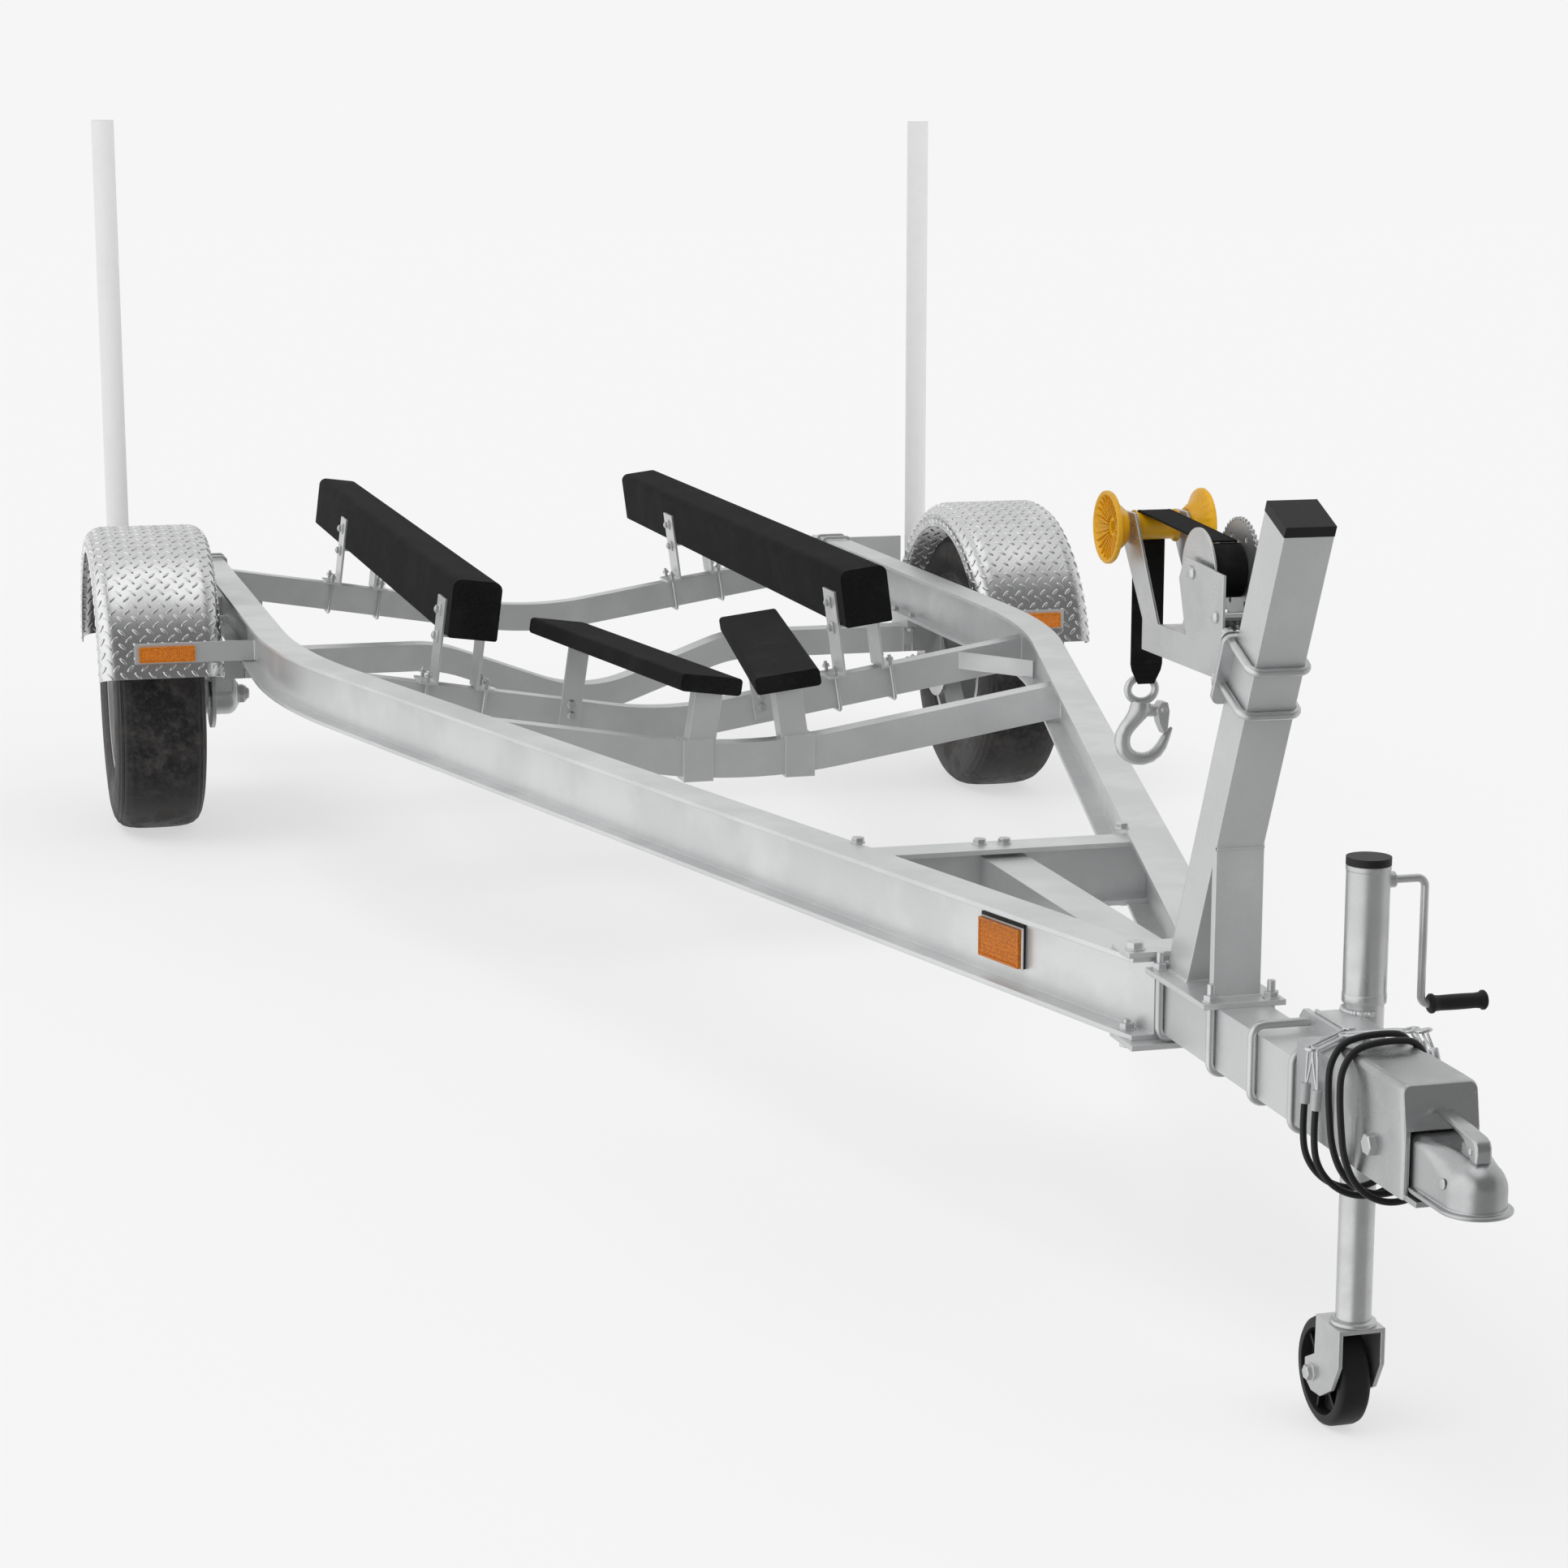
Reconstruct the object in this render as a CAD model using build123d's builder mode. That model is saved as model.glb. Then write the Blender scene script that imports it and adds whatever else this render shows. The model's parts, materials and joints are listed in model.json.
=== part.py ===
from build123d import *
import os
from math import atan2, cos, degrees, pi, radians, sin, sqrt, tan

# Single-axle boat trailer, standing parked on its wheels and its jack.
# Millimetres, +X towards the coupler, +Y to the left side, +Z up.
# The origin is on the ground, under the middle of the trailer's box.

os.makedirs("parts", exist_ok=True)

# ---------------------------------------------------------------- driving dimensions
# Stations are distances forward of the axle line, along X.

# Wheels
tyre_radius = 352.0
tyre_width = 228.0
shoulder_width = 30.0
shoulder_height = 42.0
crown_height = 4.0
sidewall_height = 62.0
rim_radius = 196.0
rim_wall = 5.0
rim_half = 95.0
rim_lip = 10.0
rim_lip_sheet = 4.0
rim_seat = 14.0
rim_well = 20.0
well_half = 34.0
disc_sheet = 8.0
disc_offset = 18.0
disc_crown = 30.0
disc_crown_radius = 120.0
hub_face = 22.0
hub_nose = 4.0
cap_radius = 36.0
wheel_offset = 229.5
spindle_radius = 20.0
running_clearance = 0.08
hub_radius = 62.0
vent_circle = 145.0
vent_radius = 13.0
vent_count = 10

# Main beams, I-section, bent in plan
beam_top = 601.0
beam_height = 124.0
flange_width = 71.0
flange_thickness = 8.0
web_thickness = 6.0
beam_rear_station = -872.0
beam_spacing = 1823.0
bend_station = 1044.0
bend_radius = 2500.0
bend_angle = 15.04
beam_front_station = 4278.0

# Tongue tube
tongue_width = 76.0
tongue_height = 88.0
tongue_top = 578.0
tongue_rear_station = 3460.0

# Cross-members
member_depth = 50.0
member_height = 76.0
member_slope = 9.2
rear_member_station = -755.0
bunk_member_station = 960.0
keel_member_station = 1745.0
front_beam_station = 3457.0
axle_tube = 70.0
axle_station = 15.0
axle_top = 455.0

# Bunks
bunk_width = 116.0
bunk_height = 138.0
bunk_tilt = 7.4
bunk_offset = 480.5
bunk_seat = 614.5
bunk_front_station = 1064.0
bunk_rear_station = -1374.0
keel_bunk_width = 143.0
keel_bunk_thickness = 38.0
keel_bunk_edge = 9.0
keel_bunk_tilt = 8.6
keel_bunk_front_station = 1780.0
keel_bunk_rear_station = 850.0
keel_bunk_front_offset = 82.0
keel_bunk_rear_offset = 234.0
keel_bunk_top = 623.0

# Fenders
fender_radius = 432.0
fender_centre_z = 347.0
fender_width = 303.0
fender_skirt = 62.0
fender_shoulder = 44.0
fender_sheet = 3.0
fender_lip_angle = 14.0

# Rear arms and guide poles
arm_size = 48.0
arm_station = -763.0
arm_inset = 140.5
pole_outset = 21.0
pole_radius = 30.0
pole_top = 1807.0

# Winch stand and winch
post_size = 70.0
post_lean = 23.9
post_foot_station = 4336.0
post_length = 753.0
prop_front_station = 4470.0
prop_sheet = 5.0
prop_flange = 14.0
stand_plate_rear = 4281.0
stand_plate_front = 4500.0
stand_plate_width = 122.0
stand_plate_thickness = 8.0
winch_plate_offset = 40.0
winch_plate_thickness = 4.0
drum_station = 4370.0
drum_z = 1167.0
roller_station = 4125.0
roller_z = 1202.0
roller_rim_radius = 53.0
roller_waist_radius = 19.5
roller_half_length = 76.0
strap_width = 50.0
strap_thickness = 4.0

# Jack
jack_station = 4646.0
jack_offset = 109.0
jack_tube_radius = 29.5
jack_leg_radius = 24.5
jack_tube_bottom = 562.0
jack_tube_top = 805.0
caster_radius = 76.0
caster_width = 45.0
caster_trail = 56.0
crank_z = 782.0
crank_drop = 175.0
crank_rod_radius = 5.5

# Coupler
sleeve_rear_station = 4775.0
housing_rear_station = 4905.0
housing_front_station = 5106.0
housing_width = 97.0
housing_top = 636.0
housing_bottom = 497.0
ball_station = 5196.0
ball_radius = 25.4
socket_wall = 12.6
nose_bottom = 511.0
nose_lip = 7.0
sleeve_wall = 10.0

# Safety cables
cable_diameter = 9.0

# Bends of the members
rear_member_bend = 1000.0
bunk_member_bend = 800.0
keel_member_bend = 1300.0
axle_bend = 330.0

# ---------------------------------------------------------------- derived places
nose_station = ball_station + ball_radius + socket_wall + nose_lip
axle_x = -(nose_station + bunk_rear_station) / 2
beam_y = beam_spacing / 2
wheel_y = beam_y + wheel_offset
pole_offset = wheel_y + pole_outset
arm_inner_end = beam_y - arm_inset
beam_bottom = beam_top - beam_height
web_inner_y = beam_y - web_thickness / 2
bend_slope = tan(radians(bend_angle))
member_rise = tan(radians(member_slope))
tongue_side = tongue_width / 2
tongue_bottom = tongue_top - tongue_height


def sx(station):
    """X of a station measured forward from the axle line."""
    return axle_x + station


def beam_line_y(station):
    """Y of the left beam's straight front run, its middle line, at a station."""
    return beam_y - (station - bend_station) * bend_slope


def finish(piece, label):
    """Name a finished piece and write it."""
    piece.label = label
    export_step(piece, f"parts/{label}.step")


def block(x_range, y_range, z_range):
    """A block between two corners, added to the open part."""
    middle = [(low + high) / 2 for low, high in (x_range, y_range, z_range)]
    size = [high - low for low, high in (x_range, y_range, z_range)]
    with Locations(tuple(middle)):
        Box(*size)


def cut_block(x_range, y_range, z_range):
    """A block between two corners, cut from the open part."""
    middle = [(low + high) / 2 for low, high in (x_range, y_range, z_range)]
    size = [high - low for low, high in (x_range, y_range, z_range)]
    with Locations(tuple(middle)):
        Box(*size, mode=Mode.SUBTRACT)


def cross_cylinder(radius, y_range, x, z, mode=Mode.ADD):
    """A cylinder along Y in the open part."""
    middle = (y_range[0] + y_range[1]) / 2
    with Locations((x, middle, z)):
        Cylinder(radius, y_range[1] - y_range[0], rotation=(90, 0, 0), mode=mode)


def upright_cylinder(radius, z_range, x, y, mode=Mode.ADD):
    """A cylinder along Z in the open part."""
    middle = (z_range[0] + z_range[1]) / 2
    with Locations((x, y, middle)):
        Cylinder(radius, z_range[1] - z_range[0], mode=mode)


# ---------------------------------------------------------------- main beams
beam_start = (sx(beam_rear_station), beam_y)
beam_corner = (sx(bend_station), beam_y)
beam_end_station = beam_front_station + flange_width
beam_end = (sx(beam_end_station), beam_line_y(beam_end_station))


def main_beam(side):
    """One bent I-beam: side is 1 for the left one and -1 for the right one."""
    with BuildPart() as beam:
        with BuildLine(Plane.XY.offset(beam_bottom)) as run:
            FilletPolyline(
                (beam_start[0], side * beam_start[1]),
                (beam_corner[0], side * beam_corner[1]),
                (beam_end[0], side * beam_end[1]),
                radius=bend_radius,
            )
        section_plane = Plane(
            origin=(beam_start[0], side * beam_start[1], beam_bottom),
            x_dir=(0, 1, 0),
            z_dir=(1, 0, 0),
        )
        with BuildSketch(section_plane):
            for foot in (flange_thickness / 2, beam_height - flange_thickness / 2):
                with Locations((0, foot)):
                    Rectangle(flange_width, flange_thickness)
            with Locations((0, beam_height / 2)):
                Rectangle(web_thickness, beam_height - flange_thickness)
        sweep(path=run.wires()[0])
        # The front ends stop square, meet over the tongue and leave room for it.
        front = sx(beam_front_station)
        cut_block((front, front + 400), (-600, 600), (0, 900))
        cut_block((front - 900, front + 10), (min(0, -side * 300), max(0, -side * 300)), (0, 900))
        cut_block(
            (front - 900, front + 10),
            (-tongue_side, tongue_side),
            (beam_bottom - 1, beam_top - flange_thickness),
        )
    return beam.part


beams = {side: main_beam(side) for side in (1, -1)}
finish(beams[1], "beam_left")
finish(beams[-1], "beam_right")

# ---------------------------------------------------------------- cross-members


def dipped_member(station, depth, half_span, tip_z, height, radius):
    """A cross-member that dips towards its middle, square to the trailer."""
    end_z = tip_z + half_span * member_rise
    with BuildPart() as member:
        with BuildSketch(Plane.YZ.offset(sx(station) - depth / 2)):
            with BuildLine():
                FilletPolyline((-half_span, end_z), (0, tip_z), (half_span, end_z), radius=radius)
                Line((half_span, end_z), (half_span, end_z - height))
                FilletPolyline(
                    (half_span, end_z - height),
                    (0, tip_z - height),
                    (-half_span, end_z - height),
                    radius=radius,
                )
                Line((-half_span, end_z - height), (-half_span, end_z))
            make_face()
        extrude(amount=depth)
    return member


# Top of each member at the point of its V, before rounding
rear_member_tip = 429.0
bunk_member_tip = 411.0
keel_member_tip = 456.0


def member_top(tip_z, y):
    """Height of a member's sloping top at a distance from the middle."""
    return tip_z + abs(y) * member_rise


rear_member = dipped_member(
    rear_member_station,
    member_depth,
    web_inner_y,
    rear_member_tip,
    member_height,
    rear_member_bend,
)
finish(rear_member.part, "rear_cross_member")

# This member stands where the beams begin to bend, so it is cut to their webs.
bend_length = bend_radius * tan(radians(bend_angle / 2))
bend_start = bend_station - bend_length
bend_end = bend_station + bend_length * cos(radians(bend_angle))
web_arc_radius = bend_radius - web_thickness / 2


def web_face_y(station):
    """Y of the inner face of the left beam's web at a station."""
    if station < bend_start:
        return web_inner_y
    if station < bend_end:
        return beam_y - bend_radius + sqrt(web_arc_radius**2 - (station - bend_start) ** 2)
    return beam_line_y(station) - (web_thickness / 2) / cos(radians(bend_angle))


bunk_member_front = bunk_member_station + member_depth / 2
bunk_member_half = web_face_y(bunk_member_front)
with BuildPart() as bunk_member:
    add(
        dipped_member(
            bunk_member_station,
            member_depth,
            bunk_member_half,
            bunk_member_tip,
            member_height,
            bunk_member_bend,
        ).part
    )
    # Diagonal braces run forward from the member's ends to the beams.
    brace_thickness = 6.0
    brace_reach = 180.0
    brace_inset = 160.0
    brace_drop = 3.0
    brace_low = beam_bottom + flange_thickness + 0.3
    for side in (1, -1):
        start_y = bunk_member_half - brace_inset
        end_station = bunk_member_front + brace_reach
        end_y = web_face_y(end_station) - brace_thickness
        start = (sx(bunk_member_front) - 2, start_y)
        turn = degrees(atan2(end_y - start_y, end_station - bunk_member_front + 2))
        length = sqrt((end_y - start_y) ** 2 + (end_station - bunk_member_front + 2) ** 2)
        brace_plane = Plane(
            origin=(start[0], side * start[1], 0),
            x_dir=(cos(radians(turn)), side * sin(radians(turn)), 0),
            z_dir=(0, 0, 1),
        )
        brace_top = member_top(bunk_member_tip, start_y) - brace_drop
        with BuildSketch(brace_plane.offset(brace_low)):
            with Locations((length / 2, 0)):
                Rectangle(length, brace_thickness)
        extrude(amount=brace_top - brace_low)
        # The member's end is coped over the beam's lower flange.
        add(beams[side], mode=Mode.SUBTRACT)
finish(bunk_member.part, "bunk_cross_member")

keel_member_front = keel_member_station + member_depth / 2
keel_member_half = web_face_y(keel_member_front)
with BuildPart() as keel_member:
    add(
        dipped_member(
            keel_member_station,
            member_depth,
            keel_member_half + member_depth * bend_slope,
            keel_member_tip,
            member_height,
            keel_member_bend,
        ).part
    )
    # Its ends are cut along the slanting webs.
    for side in (1, -1):
        rear_half = keel_member_half + member_depth * bend_slope
        with BuildSketch(Plane.XY.offset(200)):
            with BuildLine():
                Polyline(
                    (sx(keel_member_front), side * keel_member_half),
                    (sx(keel_member_front) + 5, side * (rear_half + 60)),
                    (sx(keel_member_front) - member_depth - 5, side * (rear_half + 60)),
                    (sx(keel_member_front) - member_depth, side * rear_half),
                    (sx(keel_member_front), side * keel_member_half),
                )
            make_face()
        extrude(amount=500, mode=Mode.SUBTRACT)
finish(keel_member.part, "keel_cross_member")

# The front cross-beam is an I-section between the webs.
with BuildPart() as front_beam:
    front_half = web_face_y(front_beam_station)
    cross_flange = 68.0
    inner_top = beam_top - flange_thickness
    inner_bottom = beam_bottom + flange_thickness
    with BuildSketch(Plane.XZ.offset(-400)):
        for foot in (inner_top - flange_thickness / 2, inner_bottom + flange_thickness / 2):
            with Locations((sx(front_beam_station), foot)):
                Rectangle(cross_flange, flange_thickness)
        with Locations((sx(front_beam_station), (inner_top + inner_bottom) / 2)):
            Rectangle(web_thickness, inner_top - inner_bottom - flange_thickness)
    extrude(amount=800)
    for side in (1, -1):
        slope_y = (cross_flange / 2) * bend_slope
        with BuildSketch(Plane.XY.offset(400)):
            with BuildLine():
                Polyline(
                    (sx(front_beam_station) + cross_flange, side * (front_half - 2 * slope_y)),
                    (sx(front_beam_station) + cross_flange, side * 500),
                    (sx(front_beam_station) - cross_flange, side * 500),
                    (sx(front_beam_station) - cross_flange, side * (front_half + 2 * slope_y)),
                    (sx(front_beam_station) + cross_flange, side * (front_half - 2 * slope_y)),
                )
            make_face()
        extrude(amount=300, mode=Mode.SUBTRACT)
finish(front_beam.part, "front_cross_beam")

# ---------------------------------------------------------------- tongue and apex plates
with BuildPart() as tongue:
    block(
        (sx(front_beam_station) + web_thickness / 2, sx(housing_rear_station) - sleeve_wall),
        (-tongue_side, tongue_side),
        (tongue_bottom, tongue_top),
    )
    # Its rear end is notched over the cross-beam's lower flange.
    add(front_beam.part, mode=Mode.SUBTRACT)
finish(tongue.part, "tongue_tube")

apex_plate_thickness = 8.0
apex_plate_rear = 4214.0
apex_plate_front = 4285.0
apex_plate_half = 88.0
with BuildPart() as apex_plates:
    block(
        (sx(apex_plate_rear), sx(apex_plate_front)),
        (-apex_plate_half, apex_plate_half),
        (beam_top, beam_top + apex_plate_thickness),
    )
    block(
        (sx(apex_plate_rear), sx(apex_plate_front + 18)),
        (-apex_plate_half, apex_plate_half),
        (beam_bottom - apex_plate_thickness, beam_bottom),
    )
finish(apex_plates.part, "apex_plates")

# ---------------------------------------------------------------- axle
axle_rise = 0.37
axle_flat_half = 395.0
axle_end_gap = 6.5
axle_end_y = beam_y - axle_end_gap
axle_tip = axle_top - axle_flat_half * axle_rise
with BuildPart() as axle:
    with BuildSketch(Plane.YZ.offset(sx(axle_station) - axle_tube / 2)):
        with BuildLine():
            upper = [
                (-axle_end_y, axle_top),
                (-axle_flat_half, axle_top),
                (0, axle_tip),
                (axle_flat_half, axle_top),
                (axle_end_y, axle_top),
            ]
            lower = [(y, z - axle_tube) for y, z in reversed(upper)]
            FilletPolyline(*upper, radius=axle_bend)
            Line(upper[-1], lower[0])
            FilletPolyline(*lower, radius=axle_bend)
            Line(lower[-1], upper[0])
        make_face()
    extrude(amount=axle_tube)
finish(axle.part, "axle_beam")

# Each end has a bowl-shaped arm housing, a big nut on it, the brake's backing plate and the
# spindle. The distances along Y are from the trailer's middle.
backing_inner = wheel_y - 157.0
backing_outer = backing_inner + 10.0
backing_radius = 100.0
backing_gap = 6.0
housing_drop = 14.0
housing_radius = 52.0
housing_round = 28.0
housing_inner = backing_inner - 63.0
nut_radius = 20.0
nut_inner = housing_inner - 22.0
axle_arm_inner = backing_inner - 44.0
spindle_end = wheel_y + 15
with BuildPart() as axle_ends:
    for side in (1, -1):
        span = sorted((side * axle_arm_inner, side * backing_inner))
        housing_plane = Plane(
            origin=(sx(0), 0, tyre_radius - housing_drop), x_dir=(0, side, 0), z_dir=(1, 0, 0)
        )
        with BuildSketch(housing_plane):
            with BuildLine():
                Polyline(
                    (housing_inner, housing_radius - housing_round),
                    (housing_inner, nut_radius),
                    (nut_inner, nut_radius),
                    (nut_inner, 0),
                    (backing_inner, 0),
                    (backing_inner, housing_radius),
                    (housing_inner + housing_round, housing_radius),
                )
                RadiusArc(
                    (housing_inner + housing_round, housing_radius),
                    (housing_inner, housing_radius - housing_round),
                    side * housing_round,
                )
            make_face()
        revolve(
            axis=Axis((sx(0), 0, tyre_radius - housing_drop), (0, 1, 0)), revolution_arc=360
        )
        block(
            (sx(axle_station) - axle_tube / 2, sx(axle_station) + axle_tube / 2),
            sorted((side * axle_end_y, side * backing_inner)),
            (axle_top - axle_tube, axle_top),
        )
        block(
            (sx(axle_station) - axle_tube / 2, sx(axle_station) + axle_tube / 2),
            span,
            (tyre_radius, axle_top - axle_tube),
        )
        cross_cylinder(
            backing_radius,
            sorted((side * backing_inner, side * backing_outer)),
            sx(0),
            tyre_radius,
        )
        cross_cylinder(
            spindle_radius, sorted((side * backing_outer, side * spindle_end)), sx(0), tyre_radius
        )
finish(axle_ends.part, "axle_ends")

bracket_plate_half = 75.0
bracket_cheek = 8.0
bracket_cheek_drop = 50.0
with BuildPart() as axle_brackets:
    for side in (1, -1):
        edge = sorted((side * (beam_y - flange_width / 2), side * (beam_y - bracket_cheek)))
        plate = (sx(axle_station) - bracket_plate_half, sx(axle_station) + bracket_plate_half)
        block(plate, edge, (axle_top, beam_bottom))
        for cheek in (-1, 1):
            faces = sorted(
                (
                    sx(axle_station) + cheek * axle_tube / 2,
                    sx(axle_station) + cheek * (axle_tube / 2 + bracket_cheek),
                )
            )
            block(faces, edge, (axle_top - bracket_cheek_drop, axle_top))
finish(axle_brackets.part, "axle_brackets")

# ---------------------------------------------------------------- wheels


def wheel(side):
    """Steel rim, disc and hub as one turning piece."""
    well_radius = rim_radius - rim_well
    hub_back = backing_outer + backing_gap - wheel_y
    bore = spindle_radius + running_clearance
    # Columns: distance outboard of the wheel's middle, radius
    outline = [
        (-rim_half, rim_radius + rim_lip),
        (-rim_half - rim_lip_sheet, rim_radius + rim_lip),
        (-rim_half - rim_lip_sheet, rim_radius - rim_wall),
        (-rim_half + rim_seat, rim_radius - rim_wall),
        (-well_half, well_radius - rim_wall),
        (disc_offset - disc_sheet, well_radius - rim_wall),
        (disc_crown - disc_sheet, disc_crown_radius),
        (hub_face - disc_sheet, hub_radius + 8),
        (hub_face - disc_sheet - 26, hub_radius),
        (hub_back, hub_radius),
        (hub_back, bore),
        (hub_face + hub_nose, bore),
        (hub_face + hub_nose, cap_radius),
        (hub_face, cap_radius + 4),
        (hub_face, hub_radius + 8),
        (disc_crown, disc_crown_radius),
        (disc_offset, well_radius - rim_wall),
        (well_half, well_radius - rim_wall),
        (rim_half - rim_seat, rim_radius - rim_wall),
        (rim_half + rim_lip_sheet, rim_radius - rim_wall),
        (rim_half + rim_lip_sheet, rim_radius + rim_lip),
        (rim_half, rim_radius + rim_lip),
        (rim_half, rim_radius),
        (rim_half - rim_seat, rim_radius),
        (well_half, well_radius),
        (-well_half, well_radius),
        (-rim_half + rim_seat, rim_radius),
        (-rim_half, rim_radius),
    ]
    with BuildPart() as rim:
        profile_plane = Plane(
            origin=(sx(0), side * wheel_y, tyre_radius), x_dir=(0, side, 0), z_dir=(1, 0, 0)
        )
        with BuildSketch(profile_plane):
            with BuildLine():
                Polyline(*outline, close=True)
            make_face()
        revolve(axis=Axis((sx(0), side * wheel_y, tyre_radius), (0, 1, 0)), revolution_arc=360)
        disc_plane = Plane(
            origin=(sx(0), side * (wheel_y + disc_crown), tyre_radius),
            x_dir=(1, 0, 0),
            z_dir=(0, side, 0),
        )
        with BuildSketch(disc_plane):
            with PolarLocations(vent_circle, vent_count):
                Circle(vent_radius)
        extrude(amount=-2 * disc_crown, mode=Mode.SUBTRACT)
    return rim.part


def tyre(side):
    """Closed ring with rounded shoulders, seated on the rim."""
    half = tyre_width / 2
    bead = rim_half - 0.3
    flange_top = rim_radius + rim_lip + 1
    tread = half - shoulder_width
    with BuildPart() as ring:
        profile_plane = Plane(origin=(sx(0), side * wheel_y, tyre_radius), x_dir=(0, 1, 0),
                              z_dir=(1, 0, 0))
        with BuildSketch(profile_plane):
            with BuildLine():
                Line((-bead, rim_radius), (bead, rim_radius))
                Line((bead, rim_radius), (bead, flange_top))
                Line((bead, flange_top), (half, rim_radius + sidewall_height))
                Line((half, rim_radius + sidewall_height), (half, tyre_radius - shoulder_height))
                Line((half, tyre_radius - shoulder_height), (tread, tyre_radius - crown_height))
                ThreePointArc(
                    (tread, tyre_radius - crown_height), (0, tyre_radius), (-tread, tyre_radius - crown_height)
                )
                Line((-tread, tyre_radius - crown_height), (-half, tyre_radius - shoulder_height))
                Line((-half, tyre_radius - shoulder_height), (-half, rim_radius + sidewall_height))
                Line((-half, rim_radius + sidewall_height), (-bead, flange_top))
                Line((-bead, flange_top), (-bead, rim_radius))
            make_face()
        revolve(axis=Axis((sx(0), side * wheel_y, tyre_radius), (0, 1, 0)), revolution_arc=360)
    return ring.part


for side, name in ((1, "left"), (-1, "right")):
    finish(wheel(side), f"wheel_{name}")
    finish(tyre(side), f"tyre_{name}")

# ---------------------------------------------------------------- fenders


def fender(side):
    """Rolled sheet over the wheel, with rounded shoulders and side skirts."""
    start = radians(fender_lip_angle)
    sweep_angle = 180 - 2 * fender_lip_angle
    plane = Plane(
        origin=(sx(0), side * wheel_y, fender_centre_z),
        x_dir=(0, 1, 0),
        z_dir=(sin(start), 0, -cos(start)),
    )
    half = fender_width / 2
    low = fender_radius - fender_skirt
    with BuildPart() as sheet:
        with BuildSketch(plane):
            with BuildLine() as outline:
                FilletPolyline(
                    (-half, low),
                    (-half, fender_radius),
                    (half, fender_radius),
                    (half, low),
                    radius=fender_shoulder,
                )
                inner = fender_shoulder - fender_sheet
                Line((half, low), (half - fender_sheet, low))
                FilletPolyline(
                    (half - fender_sheet, low),
                    (half - fender_sheet, fender_radius - fender_sheet),
                    (-half + fender_sheet, fender_radius - fender_sheet),
                    (-half + fender_sheet, low),
                    radius=inner,
                )
                Line((-half + fender_sheet, low), (-half, low))
            make_face()
        revolve(
            axis=Axis((sx(0), side * wheel_y, fender_centre_z), (0, -1, 0)),
            revolution_arc=sweep_angle,
        )
    return sheet.part


for side, name in ((1, "left"), (-1, "right")):
    finish(fender(side), f"fender_{name}")

# Flat bars carry the fenders from the beam webs, ahead of and behind the wheel.
bar_thickness = 6.0
bar_low = 488.0
bar_high = 538.0
bar_reach = sqrt(fender_radius**2 - (bar_low - fender_centre_z) ** 2)
bar_outer_end = wheel_y + 67.0
with BuildPart() as fender_bars:
    for side in (1, -1):
        span = sorted((side * (beam_y + web_thickness / 2), side * bar_outer_end))
        block((sx(bar_reach), sx(bar_reach) + bar_thickness), span, (bar_low, bar_high))
        block((sx(-bar_reach) - bar_thickness, sx(-bar_reach)), span, (bar_low, bar_high))
finish(fender_bars.part, "fender_bars")

# ---------------------------------------------------------------- marker lamps
lens_depth = 9.0
fender_lens_span = (wheel_y - 79.0, wheel_y + 56.0)
side_marker_station = 3900.0
side_marker_length = 109.0
side_marker_height = 61.0
side_marker_z = 542.0
marker_plate_thickness = 5.0
marker_rim = 5.0


def web_side_plane(side):
    """Plane on the outer face of a beam's web at the side marker, z_dir pointing outward."""
    normal = (sin(radians(bend_angle)), side * cos(radians(bend_angle)), 0)
    line_y = side * beam_line_y(side_marker_station)
    offset = web_thickness / 2
    return Plane(
        origin=(
            sx(side_marker_station) + normal[0] * offset,
            line_y + normal[1] * offset,
            side_marker_z,
        ),
        x_dir=(cos(radians(bend_angle)), -side * sin(radians(bend_angle)), 0),
        z_dir=normal,
    )


with BuildPart() as marker_plates:
    for side in (1, -1):
        with BuildSketch(web_side_plane(side)):
            Rectangle(side_marker_length + 2 * marker_rim, side_marker_height + 2 * marker_rim)
        extrude(amount=marker_plate_thickness)
finish(marker_plates.part, "marker_plates")

marker_lens_depth = 8.0
with BuildPart() as amber_lenses:
    for side in (1, -1):
        with BuildSketch(web_side_plane(side).offset(marker_plate_thickness)):
            Rectangle(side_marker_length, side_marker_height)
        extrude(amount=marker_lens_depth)
        lens_x = sx(bar_reach) + bar_thickness
        block(
            (lens_x, lens_x + lens_depth),
            sorted((side * fender_lens_span[0], side * fender_lens_span[1])),
            (bar_low + 4, bar_high - 8),
        )
finish(amber_lenses.part, "amber_lenses")

# ---------------------------------------------------------------- rear arms, poles, tail lamps
arm_top = beam_bottom
arm_end_margin = 8.0
arm_outer_end = pole_offset + arm_size / 2 + arm_end_margin
riser_thickness = 6.0
riser_gap = 10.0
with BuildPart() as rear_arms:
    for side in (1, -1):
        span = sorted((side * arm_inner_end, side * arm_outer_end))
        block(
            (sx(arm_station) - arm_size / 2, sx(arm_station) + arm_size / 2),
            span,
            (arm_top - arm_size, arm_top),
        )
        riser = sorted(
            (
                side * (beam_y + flange_width / 2 + riser_gap),
                side * (pole_offset - pole_radius - arm_end_margin),
            )
        )
        block(
            (sx(arm_station) - arm_size / 2, sx(arm_station) - arm_size / 2 + riser_thickness),
            riser,
            (arm_top, beam_top),
        )
finish(rear_arms.part, "rear_arms")

with BuildPart() as guide_poles:
    for side in (1, -1):
        upright_cylinder(pole_radius, (arm_top, pole_top), sx(arm_station), side * pole_offset)
finish(guide_poles.part, "guide_poles")

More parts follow.
